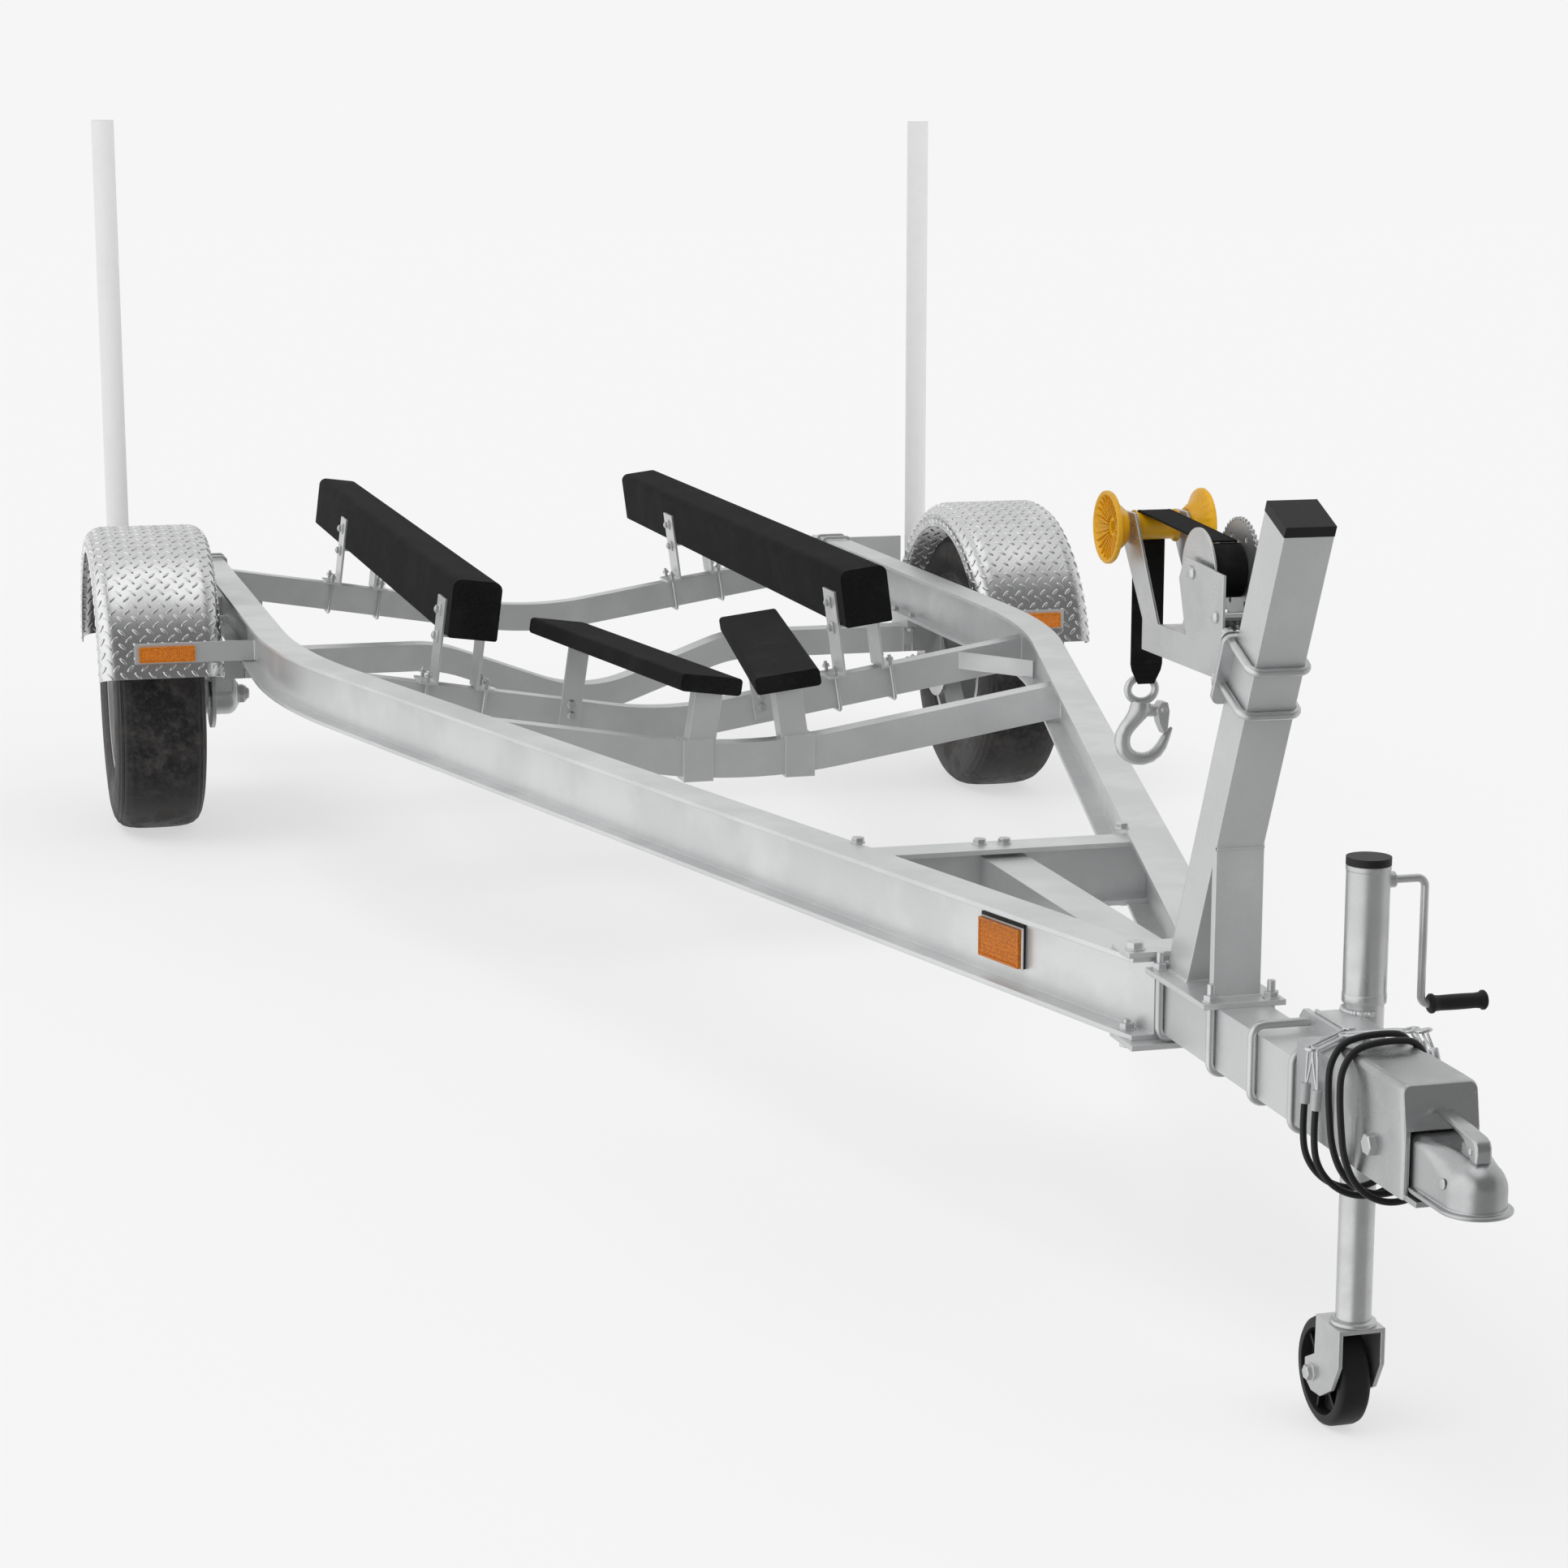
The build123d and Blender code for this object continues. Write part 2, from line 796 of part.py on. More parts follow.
tail_lamp_depth = 38.0
tail_lamp_width = 150.0
tail_lamp_y = pole_offset - pole_radius - 17.0 - tail_lamp_width / 2
tail_lamp_span = (beam_bottom + 28.0, beam_top - 16.0)
with BuildPart() as tail_lamps:
    for side in (1, -1):
        block(
            (sx(arm_station) - arm_size / 2 - tail_lamp_depth, sx(arm_station) - arm_size / 2),
            sorted(
                (
                    side * (tail_lamp_y - tail_lamp_width / 2),
                    side * (tail_lamp_y + tail_lamp_width / 2),
                )
            ),
            tail_lamp_span,
        )
finish(tail_lamps.part, "tail_lamps")

# ---------------------------------------------------------------- bunks


def bunk_plane(side, station, normal=(1, 0, 0)):
    """Cross-section plane of a big bunk, its origin at the middle of the underside."""
    lean = radians(bunk_tilt)
    return Plane(
        origin=(sx(station), side * bunk_offset, bunk_seat),
        x_dir=(0, cos(lean), side * sin(lean)),
        z_dir=normal,
    )


bunk_edge = 20.0
bunk_low_edge = 6.0
for side, name in ((1, "left"), (-1, "right")):
    with BuildPart() as bunk:
        with BuildSketch(bunk_plane(side, bunk_rear_station)) as section:
            with Locations((0, bunk_height / 2)):
                Rectangle(bunk_width, bunk_height)
            fillet(section.vertices().group_by(Axis.Y)[-1], bunk_edge)
            fillet(section.vertices().group_by(Axis.Y)[0], bunk_low_edge)
        extrude(amount=bunk_front_station - bunk_rear_station)
    finish(bunk.part, f"bunk_{name}")

# Each bracket: a tall cheek on the bunk's right-hand side, a shelf under it, a short leg on
# the other side, and a wide foot on the member at each of them.
bracket_sheet = 6.0
bracket_width = 100.0
cheek_rise = 82.0
short_leg_inset = 18.0
foot_length = 42.0
foot_width = bracket_width


def bunk_bracket(side, station, tip_z):
    """The outlines of a welded bracket from a member's top to one bunk: its band and feet."""
    lean = radians(side * bunk_tilt)

    def place(u, v):
        """Y and Z of a point given in the bunk's own section."""
        return (
            side * bunk_offset + u * cos(lean) - v * sin(lean),
            bunk_seat + u * sin(lean) + v * cos(lean),
        )

    def drop(u):
        """Where a leg at u meets the member's sloping top."""
        y0, z0 = place(u, 0)
        slope = side * member_rise
        run = (z0 - tip_z - slope * y0) / (cos(lean) + slope * sin(lean))
        return (y0 + run * sin(lean), z0 - run * cos(lean))

    def foot(point, run):
        """A foot's outline from a leg's lower corner, along the member's top."""
        y, z = point
        return [
            (y, z),
            (y + run, z + side * member_rise * run),
            (y + run, z + side * member_rise * run + bracket_sheet),
            (y, z + bracket_sheet),
        ]

    left = -bunk_width / 2
    right = bunk_width / 2 - short_leg_inset
    band = [
        place(left - bracket_sheet, cheek_rise),
        place(left, cheek_rise),
        place(left, 0),
        place(right, 0),
        drop(right),
        drop(right - bracket_sheet),
        place(right - bracket_sheet, -bracket_sheet),
        place(left, -bracket_sheet),
        drop(left),
        drop(left - bracket_sheet),
    ]
    feet = [foot(drop(left), -foot_length), foot(drop(right - bracket_sheet), foot_length)]
    return band, feet


with BuildPart() as bunk_brackets:
    for side in (1, -1):
        for station, tip_z in (
            (rear_member_station, rear_member_tip),
            (bunk_member_station, bunk_member_tip),
        ):
            band, feet = bunk_bracket(side, station, tip_z)
            for outline, width in ((band, bracket_width), *((foot, foot_width) for foot in feet)):
                with BuildSketch(Plane.YZ.offset(sx(station) - width / 2)):
                    with BuildLine():
                        Polyline(*outline, close=True)
                    make_face()
                extrude(amount=width)
finish(bunk_brackets.part, "bunk_brackets")

# ---------------------------------------------------------------- keel bunks
keel_turn = atan2(
    keel_bunk_rear_offset - keel_bunk_front_offset,
    keel_bunk_front_station - keel_bunk_rear_station,
)
keel_length = sqrt(
    (keel_bunk_rear_offset - keel_bunk_front_offset) ** 2
    + (keel_bunk_front_station - keel_bunk_rear_station) ** 2
)


def keel_board(side):
    """The flat board of a keel bunk, tilted towards the middle and turned in plan."""
    lean = radians(keel_bunk_tilt)
    along = Vector(cos(keel_turn), -side * sin(keel_turn), 0)
    across = Vector(sin(keel_turn), side * cos(keel_turn), 0)
    outward = across * cos(lean) + Vector(0, 0, sin(lean))
    plane = Plane(
        origin=(sx(keel_bunk_rear_station), side * keel_bunk_rear_offset, keel_bunk_top),
        x_dir=outward,
        z_dir=along,
    )
    with BuildPart() as board:
        with BuildSketch(plane) as section:
            with Locations((0, side * -keel_bunk_thickness / 2)):
                Rectangle(keel_bunk_width, keel_bunk_thickness)
            fillet(section.vertices().group_by(Axis.Z)[-2:], keel_bunk_edge)
        extrude(amount=keel_length)
    return board


for side, name in ((1, "left"), (-1, "right")):
    finish(keel_board(side).part, f"keel_bunk_{name}")

# Posts under the keel bunks lean with the boards, and a collar wraps the member at each
# front post.
keel_collar = 5.0
keel_collar_half = 33.0
keel_collar_shift = 26.0
rear_post_foot = 385.0
front_post_foot = 460.0
front_post_width = 60.0
rear_post_width = 50.0
post_depth_front = 46.0
rear_post_sheet = 6.0


def keel_offset(station):
    """Distance of a keel board's middle line from the trailer's middle, at a station."""
    return keel_bunk_rear_offset - (station - keel_bunk_rear_station) * tan(keel_turn)


def leaning_post(side, station, depth, width, foot_z):
    """A post from a foot up to the underside of a keel board."""
    lean = radians(keel_bunk_tilt)
    centre_y = keel_offset(station + depth / 2)
    under_z = keel_bunk_top - keel_bunk_thickness / cos(lean)

    def corner(half, z):
        """Y and Z of a side of the post, at a height on its middle line."""
        drop = (under_z - z) * tan(lean)
        return (side * (centre_y + drop + half * cos(lean)), z + half * sin(lean))

    with BuildPart() as post:
        with BuildSketch(Plane.YZ.offset(sx(station))):
            with BuildLine():
                Polyline(
                    corner(-width / 2, under_z),
                    corner(width / 2, under_z),
                    corner(width / 2, foot_z),
                    corner(-width / 2, foot_z),
                    close=True,
                )
            make_face()
        extrude(amount=depth)
    return post.part


with BuildPart() as keel_posts:
    for side in (1, -1):
        add(
            leaning_post(
                side, bunk_member_front, rear_post_sheet, rear_post_width, rear_post_foot
            )
        )
        front_start = keel_member_station - post_depth_front / 2
        add(
            leaning_post(
                side, front_start, post_depth_front, front_post_width, front_post_foot
            )
        )
        collar_y = keel_offset(keel_member_station) + keel_collar_shift
        collar_low = member_top(keel_member_tip, collar_y) - member_height - keel_collar
        block(
            (
                sx(keel_member_station) - member_depth / 2 - keel_collar,
                sx(keel_member_station) + member_depth / 2 + keel_collar,
            ),
            sorted((side * (collar_y - keel_collar_half), side * (collar_y + keel_collar_half))),
            (collar_low, collar_low + member_height + 3 * keel_collar),
        )
    add(keel_member.part, mode=Mode.SUBTRACT)
    for side in (1, -1):
        add(keel_board(side).part, mode=Mode.SUBTRACT)
finish(keel_posts.part, "keel_posts")

# ---------------------------------------------------------------- winch stand
lean_angle = radians(post_lean)
plate_top = tongue_top + stand_plate_thickness
post_across = post_size / cos(lean_angle)
post_rear_foot = post_foot_station - post_across / 2
post_front_foot = post_foot_station + post_across / 2
cap_thickness = 15.0


def post_rear_station(z):
    """Station of the leaning post's rear face at a height."""
    return post_rear_foot + (z - plate_top) * tan(lean_angle)


def post_front_z(station):
    """Height of the leaning post's front face at a station."""
    return plate_top + (station - post_front_foot) / tan(lean_angle)


tube_length = post_length - cap_thickness
post_top_rear = (
    post_foot_station + tube_length * sin(lean_angle) - post_size / 2 * cos(lean_angle),
    plate_top + tube_length * cos(lean_angle) + post_size / 2 * sin(lean_angle),
)
post_top_front = (
    post_foot_station + tube_length * sin(lean_angle) + post_size / 2 * cos(lean_angle),
    plate_top + tube_length * cos(lean_angle) - post_size / 2 * sin(lean_angle),
)
with BuildPart() as winch_stand:
    block(
        (sx(stand_plate_rear), sx(stand_plate_front)),
        (-stand_plate_width / 2, stand_plate_width / 2),
        (tongue_top, plate_top),
    )
    with BuildSketch(Plane.XZ.offset(-post_size / 2)):
        with BuildLine():
            Polyline(
                (sx(post_rear_foot), plate_top),
                (sx(post_front_foot), plate_top),
                (sx(post_top_front[0]), post_top_front[1]),
                (sx(post_top_rear[0]), post_top_rear[1]),
                close=True,
            )
        make_face()
    extrude(amount=post_size)
    # The prop under the post's front is a channel: a front sheet with two short flanges.
    for depth, span in (
        (prop_sheet, (-post_size / 2, post_size / 2)),
        (prop_flange, (-post_size / 2, -post_size / 2 + prop_sheet)),
        (prop_flange, (post_size / 2 - prop_sheet, post_size / 2)),
    ):
        prop_rear = prop_front_station - depth
        with BuildSketch(Plane.XZ.offset(-span[1])):
            with BuildLine():
                Polyline(
                    (sx(prop_rear), plate_top),
                    (sx(prop_front_station), plate_top),
                    (sx(prop_front_station), post_front_z(prop_front_station)),
                    (sx(prop_rear), post_front_z(prop_rear)),
                    close=True,
                )
            make_face()
        extrude(amount=span[1] - span[0])
finish(winch_stand.part, "winch_stand")

# ---------------------------------------------------------------- winch frame
frame_gap = 7.0
frame_low = 1033.0
frame_shelf = 1077.0
frame_high = 1175.0
frame_outline = [
    (4191.0, frame_low),
    (post_rear_station(frame_low) - frame_gap, frame_low),
    (post_rear_station(frame_shelf) - frame_gap, frame_shelf),
    (4486.0, frame_shelf + 18),
    (4486.0, frame_high),
    (drum_station - 24, frame_high + 10),
    (drum_station - 42, drum_z - 14),
    (drum_station - 14, frame_shelf),
    (roller_station + 125, frame_shelf),
    (roller_station + 27, roller_z + 22),
    (roller_station - 16, roller_z + 22),
    (roller_station - 22, roller_z - 14),
    (roller_station + 66, frame_shelf),
]
shaft_radius = 8.0
shaft_clearance = 0.1
mount_plate_low = 1000.0
mount_plate_size = 108.0
mount_plate_corner = 12.0
with BuildPart() as winch_frame:
    for side in (1, -1):
        with BuildSketch(Plane.XZ.offset(-(side * winch_plate_offset + winch_plate_thickness / 2))):
            with BuildLine():
                Polyline(*[(sx(station), z) for station, z in frame_outline], close=True)
            make_face()
        extrude(amount=winch_plate_thickness)
    block(
        (sx(4191.0), sx(post_rear_station(frame_low) - frame_gap)),
        (-winch_plate_offset, winch_plate_offset),
        (frame_low, frame_low + winch_plate_thickness),
    )
    plate_plane = Plane(
        origin=(sx(post_rear_station(mount_plate_low)), 0, mount_plate_low),
        x_dir=(0, -1, 0),
        z_dir=(-cos(lean_angle), 0, sin(lean_angle)),
    )
    with BuildSketch(plate_plane):
        with Locations((0, mount_plate_size / 2)):
            RectangleRounded(mount_plate_size, mount_plate_size, mount_plate_corner)
    extrude(amount=frame_gap + 0.5)
    for x, z in ((drum_station, drum_z), (roller_station, roller_z)):
        cross_cylinder(shaft_radius + shaft_clearance, (-60, 60), sx(x), z, Mode.SUBTRACT)
finish(winch_frame.part, "winch_frame")

# ---------------------------------------------------------------- drum and strap
drum_half = 28.0
coil_radius = 38.0
core_radius = 15.0
near_disc_radius = 60.0
near_disc_sheet = 3.0
gear_radius = 70.0
gear_sheet = 5.0
gear_hole_circle = 52.0
gear_hole_radius = 4.0
gear_hole_count = 6
with BuildPart() as winch_drum:
    cross_cylinder(shaft_radius, (-winch_plate_offset - 6, winch_plate_offset + 6), sx(drum_station), drum_z)
    cross_cylinder(core_radius, (-drum_half, drum_half), sx(drum_station), drum_z)
    cross_cylinder(
        near_disc_radius, (-drum_half - near_disc_sheet, -drum_half), sx(drum_station), drum_z
    )
    cross_cylinder(
        gear_radius, (drum_half, drum_half + gear_sheet), sx(drum_station), drum_z
    )
    with BuildSketch(Plane.XZ.offset(-drum_half - gear_sheet)):
        with Locations((sx(drum_station), drum_z)):
            with PolarLocations(gear_hole_circle, gear_hole_count):
                Circle(gear_hole_radius)
    extrude(amount=gear_sheet, mode=Mode.SUBTRACT)
finish(winch_drum.part, "winch_drum")

with BuildPart() as strap_coil:
    cross_cylinder(coil_radius, (-drum_half + 0.5, drum_half - 0.5), sx(drum_station), drum_z)
    cross_cylinder(core_radius, (-60, 60), sx(drum_station), drum_z, Mode.SUBTRACT)
finish(strap_coil.part, "strap_coil")

roller_profile = [
    (0.0, roller_waist_radius),
    (strap_width / 2 + 1.5, roller_waist_radius),
    (33.0, roller_waist_radius + 5),
    (33.0, shaft_radius),
    (47.0, shaft_radius),
    (47.0, roller_waist_radius + 6),
    (58.0, roller_waist_radius + 14),
    (66.0, roller_rim_radius - 6),
    (70.0, roller_rim_radius),
    (roller_half_length, roller_rim_radius),
    (roller_half_length, roller_rim_radius - 5),
    (61.0, shaft_radius + 6),
    (61.0, 0.0),
]
with BuildPart() as bow_roller:
    with BuildSketch(Plane(origin=(sx(roller_station), 0, roller_z), x_dir=(0, 1, 0), z_dir=(1, 0, 0))):
        with BuildLine():
            right = [(y, r) for y, r in roller_profile]
            left = [(-y, r) for y, r in reversed(roller_profile[1:])]
            Polyline(*left, *right, close=True)
        make_face()
    revolve(axis=Axis((sx(roller_station), 0, roller_z), (0, 1, 0)), revolution_arc=360)
finish(bow_roller.part, "bow_roller")

# The strap leaves the top of the coil, passes over the roller and hangs behind it.
strap_gap = 0.3
coil_line = coil_radius + strap_gap + strap_thickness / 2
roller_line = roller_waist_radius + strap_gap + strap_thickness / 2
strap_end_z = 985.0
span_x = drum_station - roller_station
span_z = drum_z - roller_z
span = sqrt(span_x**2 + span_z**2)
lift = atan2(span_z, span_x)
tangent_turn = atan2(coil_line - roller_line, sqrt(span**2 - (coil_line - roller_line) ** 2))
normal_angle = lift + tangent_turn + radians(90)
strap_leave = (
    drum_station + coil_line * cos(normal_angle),
    drum_z + coil_line * sin(normal_angle),
)
strap_meet = (
    roller_station + roller_line * cos(normal_angle),
    roller_z + roller_line * sin(normal_angle),
)
half_turn = (normal_angle + radians(180)) / 2
strap_over = (
    roller_station + roller_line * cos(half_turn),
    roller_z + roller_line * sin(half_turn),
)
with BuildPart() as winch_strap:
    with BuildLine() as strap_path:
        Line((sx(strap_leave[0]), 0, strap_leave[1]), (sx(strap_meet[0]), 0, strap_meet[1]))
        ThreePointArc(
            (sx(strap_meet[0]), 0, strap_meet[1]),
            (sx(strap_over[0]), 0, strap_over[1]),
            (sx(roller_station - roller_line), 0, roller_z),
        )
        Line(
            (sx(roller_station - roller_line), 0, roller_z),
            (sx(roller_station - roller_line), 0, strap_end_z),
        )
    start_dir = Vector(strap_meet[0] - strap_leave[0], 0, strap_meet[1] - strap_leave[1])
    with BuildSketch(
        Plane(origin=(sx(strap_leave[0]), 0, strap_leave[1]), x_dir=(0, 1, 0), z_dir=start_dir)
    ):
        Rectangle(strap_width, strap_thickness)
    sweep(path=strap_path.wires()[0])
finish(winch_strap.part, "winch_strap")

# Hook: an eye, a shank and an open bowl
hook_x = sx(roller_station - roller_line)
eye_radius = 18.0
eye_rod = 5.0
eye_z = strap_end_z - eye_radius - eye_rod
bowl_radius = 25.0
bowl_rod = 8.0
bowl_z = eye_z - 66.0
bowl_sweep = 300.0
shank_radius = 7.0
with BuildPart() as winch_hook:
    with Locations(Location((hook_x, 0, eye_z), (0, 90, 0))):
        Torus(eye_radius, eye_rod)
    with BuildSketch(Plane(origin=(hook_x, 0, bowl_z), x_dir=(0, 0, 1), z_dir=(0, -1, 0))):
        with Locations((bowl_radius, 0)):
            Circle(bowl_rod)
    revolve(axis=Axis((hook_x, 0, bowl_z), (1, 0, 0)), revolution_arc=bowl_sweep)
    upright_cylinder(shank_radius, (bowl_z + bowl_radius - 4, eye_z - eye_radius + 1), hook_x, 0)
finish(winch_hook.part, "winch_hook")

# ---------------------------------------------------------------- jack
jack_x = sx(jack_station)
tube_wall = 5.0
stub_radius = 27.0
leg_clearance = 0.5
outer_tube_bottom = 617.0
leg_top = 650.0
crank_boss_radius = 11.0
crank_boss_end = jack_offset + jack_tube_radius + 8
crank_shaft_start = jack_offset + jack_tube_radius + 1
with BuildPart() as jack_tube:
    upright_cylinder(jack_tube_radius, (outer_tube_bottom, jack_tube_top), jack_x, jack_offset)
    upright_cylinder(stub_radius, (jack_tube_bottom, outer_tube_bottom), jack_x, jack_offset)
    cross_cylinder(
        crank_boss_radius, (jack_offset + jack_tube_radius - 4, crank_boss_end), jack_x, crank_z
    )
    upright_cylinder(
        jack_leg_radius + leg_clearance,
        (jack_tube_bottom, jack_tube_top),
        jack_x,
        jack_offset,
        Mode.SUBTRACT,
    )
    cross_cylinder(
        crank_rod_radius + shaft_clearance,
        (crank_shaft_start - 1, crank_boss_end),
        jack_x,
        crank_z,
        Mode.SUBTRACT,
    )
finish(jack_tube.part, "jack_tube")

jack_cap_height = 10.5
with BuildPart() as tube_caps:
    upright_cylinder(
        jack_tube_radius + 1, (jack_tube_top, jack_tube_top + jack_cap_height), jack_x, jack_offset
    )
    cap_plane = Plane(
        origin=(
            sx(post_foot_station + tube_length * sin(lean_angle)),
            0,
            plate_top + tube_length * cos(lean_angle),
        ),
        x_dir=(0, 1, 0),
        z_dir=(sin(lean_angle), 0, cos(lean_angle)),
    )
    with BuildSketch(cap_plane):
        Rectangle(post_size + 1, post_size + 1)
    extrude(amount=cap_thickness)
finish(tube_caps.part, "tube_caps")

# A flange on the tongue's side with cut corners, and a box that reaches out to the tube.
flange_sheet = 8.0
flange_rear = 4597.0
flange_front = 4774.0
flange_rise = 24.0
flange_corner = 12.0
box_sheet = 6.0
box_rear = 4632.0
box_front = 4745.0
box_outer = jack_offset - 14.0
box_top = 604.0
box_drop = 84.0
with BuildPart() as jack_bracket:
    with BuildSketch(Plane.XZ.offset(-tongue_side - flange_sheet)):
        low = tongue_bottom - 6
        high = tongue_top + flange_rise
        with BuildLine():
            Polyline(
                (sx(flange_rear), low),
                (sx(flange_front), low),
                (sx(flange_front), high - flange_corner),
                (sx(flange_front - flange_corner), high),
                (sx(flange_rear + flange_corner), high),
                (sx(flange_rear), high - flange_corner),
                close=True,
            )
        make_face()
    extrude(amount=flange_sheet)
    block(
        (sx(box_rear), sx(box_front)),
        (tongue_side + flange_sheet, box_outer),
        (box_top - box_drop, box_top),
    )
    cut_block(
        (sx(box_rear + box_sheet), sx(box_front - box_sheet)),
        (tongue_side + flange_sheet, box_outer - box_sheet),
        (box_top - box_drop, box_top - box_sheet),
    )
    upright_cylinder(
        stub_radius, (jack_tube_bottom - box_drop, box_top), jack_x, jack_offset,
        Mode.SUBTRACT,
    )
finish(jack_bracket.part, "jack_bracket")

fork_top = 164.0
fork_sheet = 6.0
fork_half_gap = caster_width / 2 + 5.5
pin_radius = 7.0
caster_x = jack_x - caster_trail
# Columns: distance ahead of the caster's axle, height
fork_outline = [
    (10.0, fork_top),
    (86.0, fork_top),
    (86.0, 112.0),
    (64.0, 72.0),
    (30.0, 52.0),
    (0.0, 50.0),
    (-22.0, 62.0),
    (-22.0, 90.0),
    (8.0, 106.0),
]
with BuildPart() as jack_leg:
    upright_cylinder(jack_leg_radius, (fork_top, leg_top), jack_x, jack_offset)
    block(
        (caster_x + 10, caster_x + 86),
        (jack_offset - fork_half_gap - fork_sheet, jack_offset + fork_half_gap + fork_sheet),
        (fork_top - fork_sheet, fork_top),
    )
    for side in (1, -1):
        edge = jack_offset + side * (fork_half_gap + fork_sheet / 2)
        with BuildSketch(Plane.XZ.offset(-(edge + fork_sheet / 2))):
            with BuildLine():
                Polyline(*[(caster_x + along, z) for along, z in fork_outline], close=True)
            make_face()
        extrude(amount=fork_sheet)
    cross_cylinder(
        pin_radius,
        (jack_offset - fork_half_gap - fork_sheet - 5, jack_offset + fork_half_gap + fork_sheet + 5),
        caster_x,
        caster_radius,
    )
finish(jack_leg.part, "jack_leg")

with BuildPart() as caster:
    plane = Plane(origin=(caster_x, jack_offset, caster_radius), x_dir=(0, 1, 0), z_dir=(1, 0, 0))
    half = caster_width / 2
    with BuildSketch(plane):
        with BuildLine():
            Polyline(
                (-half - 2, pin_radius + shaft_clearance),
                (half + 2, pin_radius + shaft_clearance),
                (half + 2, 16),
                (6, 18),
                (6, 56),
                (half, 60),
                (half, caster_radius - 3),
                (half - 4, caster_radius),
                (-half + 4, caster_radius),
                (-half, caster_radius - 3),
                (-half, 60),
                (-6, 56),
                (-6, 18),
                (-half - 2, 16),
                close=True,
            )
        make_face()
    revolve(axis=Axis((caster_x, jack_offset, caster_radius), (0, 1, 0)), revolution_arc=360)
finish(caster.part, "caster_wheel")

crank_bend = 11.9
grip_radius = 11.0
crank_side = jack_offset + 83.0
grip_start = crank_side + 12.0
grip_end = grip_start + 83.0
with BuildPart() as crank:
    with BuildLine() as rod:
        FilletPolyline(
            (jack_x, crank_shaft_start, crank_z),
            (jack_x, crank_side, crank_z),
            (jack_x, crank_side, crank_z - crank_drop),
            (jack_x, grip_start, crank_z - crank_drop),
            radius=crank_bend,
        )
    with BuildSketch(Plane(origin=(jack_x, crank_shaft_start, crank_z), x_dir=(1, 0, 0), z_dir=(0, 1, 0))):
        Circle(crank_rod_radius)
    sweep(path=rod.wires()[0])
finish(crank.part, "jack_crank")

with BuildPart() as grip:
    cross_cylinder(grip_radius, (grip_start, grip_end), jack_x, crank_z - crank_drop)
finish(grip.part, "crank_grip")

# ---------------------------------------------------------------- coupler
sleeve_half = 44.0
sleeve_top = 611.0
sleeve_bottom = 494.0
fit_clearance = 0.3
pocket_depth = 47.0
pocket_half = 42.0
pocket_top = 582.0
housing_edge = 10.0
face_lean = 10.0
chin_front_station = 5137.0
chin_half = 47.0
chin_thickness = 7.0
with BuildPart() as coupler_housing:
    # The upper part of the front face leans back.
    with BuildSketch(Plane.XZ.offset(-housing_width / 2)):
        with BuildLine():
            Polyline(
                (sx(housing_rear_station), housing_bottom),
                (sx(housing_front_station), housing_bottom),
                (sx(housing_front_station), pocket_top),
                (sx(housing_front_station - face_lean), housing_top),
                (sx(housing_rear_station), housing_top),
                close=True,
            )
        make_face()
    extrude(amount=housing_width)
    fillet(coupler_housing.edges().filter_by(Axis.X).group_by(Axis.Z)[-1], housing_edge)
    block(
        (sx(sleeve_rear_station), sx(housing_rear_station)),
        (-sleeve_half, sleeve_half),
        (sleeve_bottom, sleeve_top),
    )
    cut_block(
        (sx(sleeve_rear_station), sx(housing_rear_station) - sleeve_wall),
        (-tongue_side - fit_clearance, tongue_side + fit_clearance),
        (tongue_bottom, tongue_top),
    )
    cut_block(
        (sx(housing_front_station) - pocket_depth, sx(housing_front_station)),
        (-pocket_half, pocket_half),
        (housing_bottom, pocket_top),
    )
    block(
        (sx(housing_front_station) - pocket_depth, sx(chin_front_station)),
        (-chin_half, chin_half),
        (housing_bottom, housing_bottom + chin_thickness),
    )
finish(coupler_housing.part, "coupler_housing")

ball_x = sx(ball_station)
ball_z = 535.0
socket_radius = ball_radius + 0.5
nose_radius = ball_radius + socket_wall
neck_half = 40.0
neck_top = 579.0
neck_edge = 14.0
nose_overlap = 14.0
neck_front_rise = 31.0
neck_flat = 24.0
lip_thickness = 5.0
neck_rear = sx(housing_front_station) - pocket_depth
with BuildPart() as coupler_head:
    with BuildSketch(Plane.XZ.offset(-neck_half)):
        with BuildLine():
            Polyline(
                (neck_rear, nose_bottom),
                (neck_rear, neck_top),
                (sx(housing_front_station) + neck_flat, neck_top),
                (ball_x - nose_overlap, ball_z + neck_front_rise),
                (ball_x - nose_overlap, nose_bottom),
                close=True,
            )
        make_face()
    extrude(amount=2 * neck_half)
    fillet(coupler_head.edges().filter_by(Axis.X).group_by(Axis.Z)[-1], neck_edge)
    with Locations((ball_x, 0, ball_z)):
        Sphere(nose_radius)
    cut_block((ball_x - 60, ball_x + 60), (-60, 60), (ball_z - 60, nose_bottom))
    upright_cylinder(nose_radius, (nose_bottom, ball_z), ball_x, 0)
    with BuildSketch(Plane.XY.offset(nose_bottom - 2)):
        with Locations((ball_x, 0)):
            Circle(nose_radius + nose_lip)
        with Locations(((sx(housing_front_station) + 2 + ball_x) / 2, 0)):
            Rectangle(ball_x - sx(housing_front_station) - 2, 2 * (nose_radius + nose_lip))
    extrude(amount=lip_thickness)
    upright_cylinder(socket_radius, (nose_bottom - 10, ball_z), ball_x, 0, Mode.SUBTRACT)
    with Locations((ball_x, 0, ball_z)):
        Sphere(socket_radius, mode=Mode.SUBTRACT)
finish(coupler_head.part, "coupler_head")

lever_half = 11.0
dome_top = ball_z + nose_radius
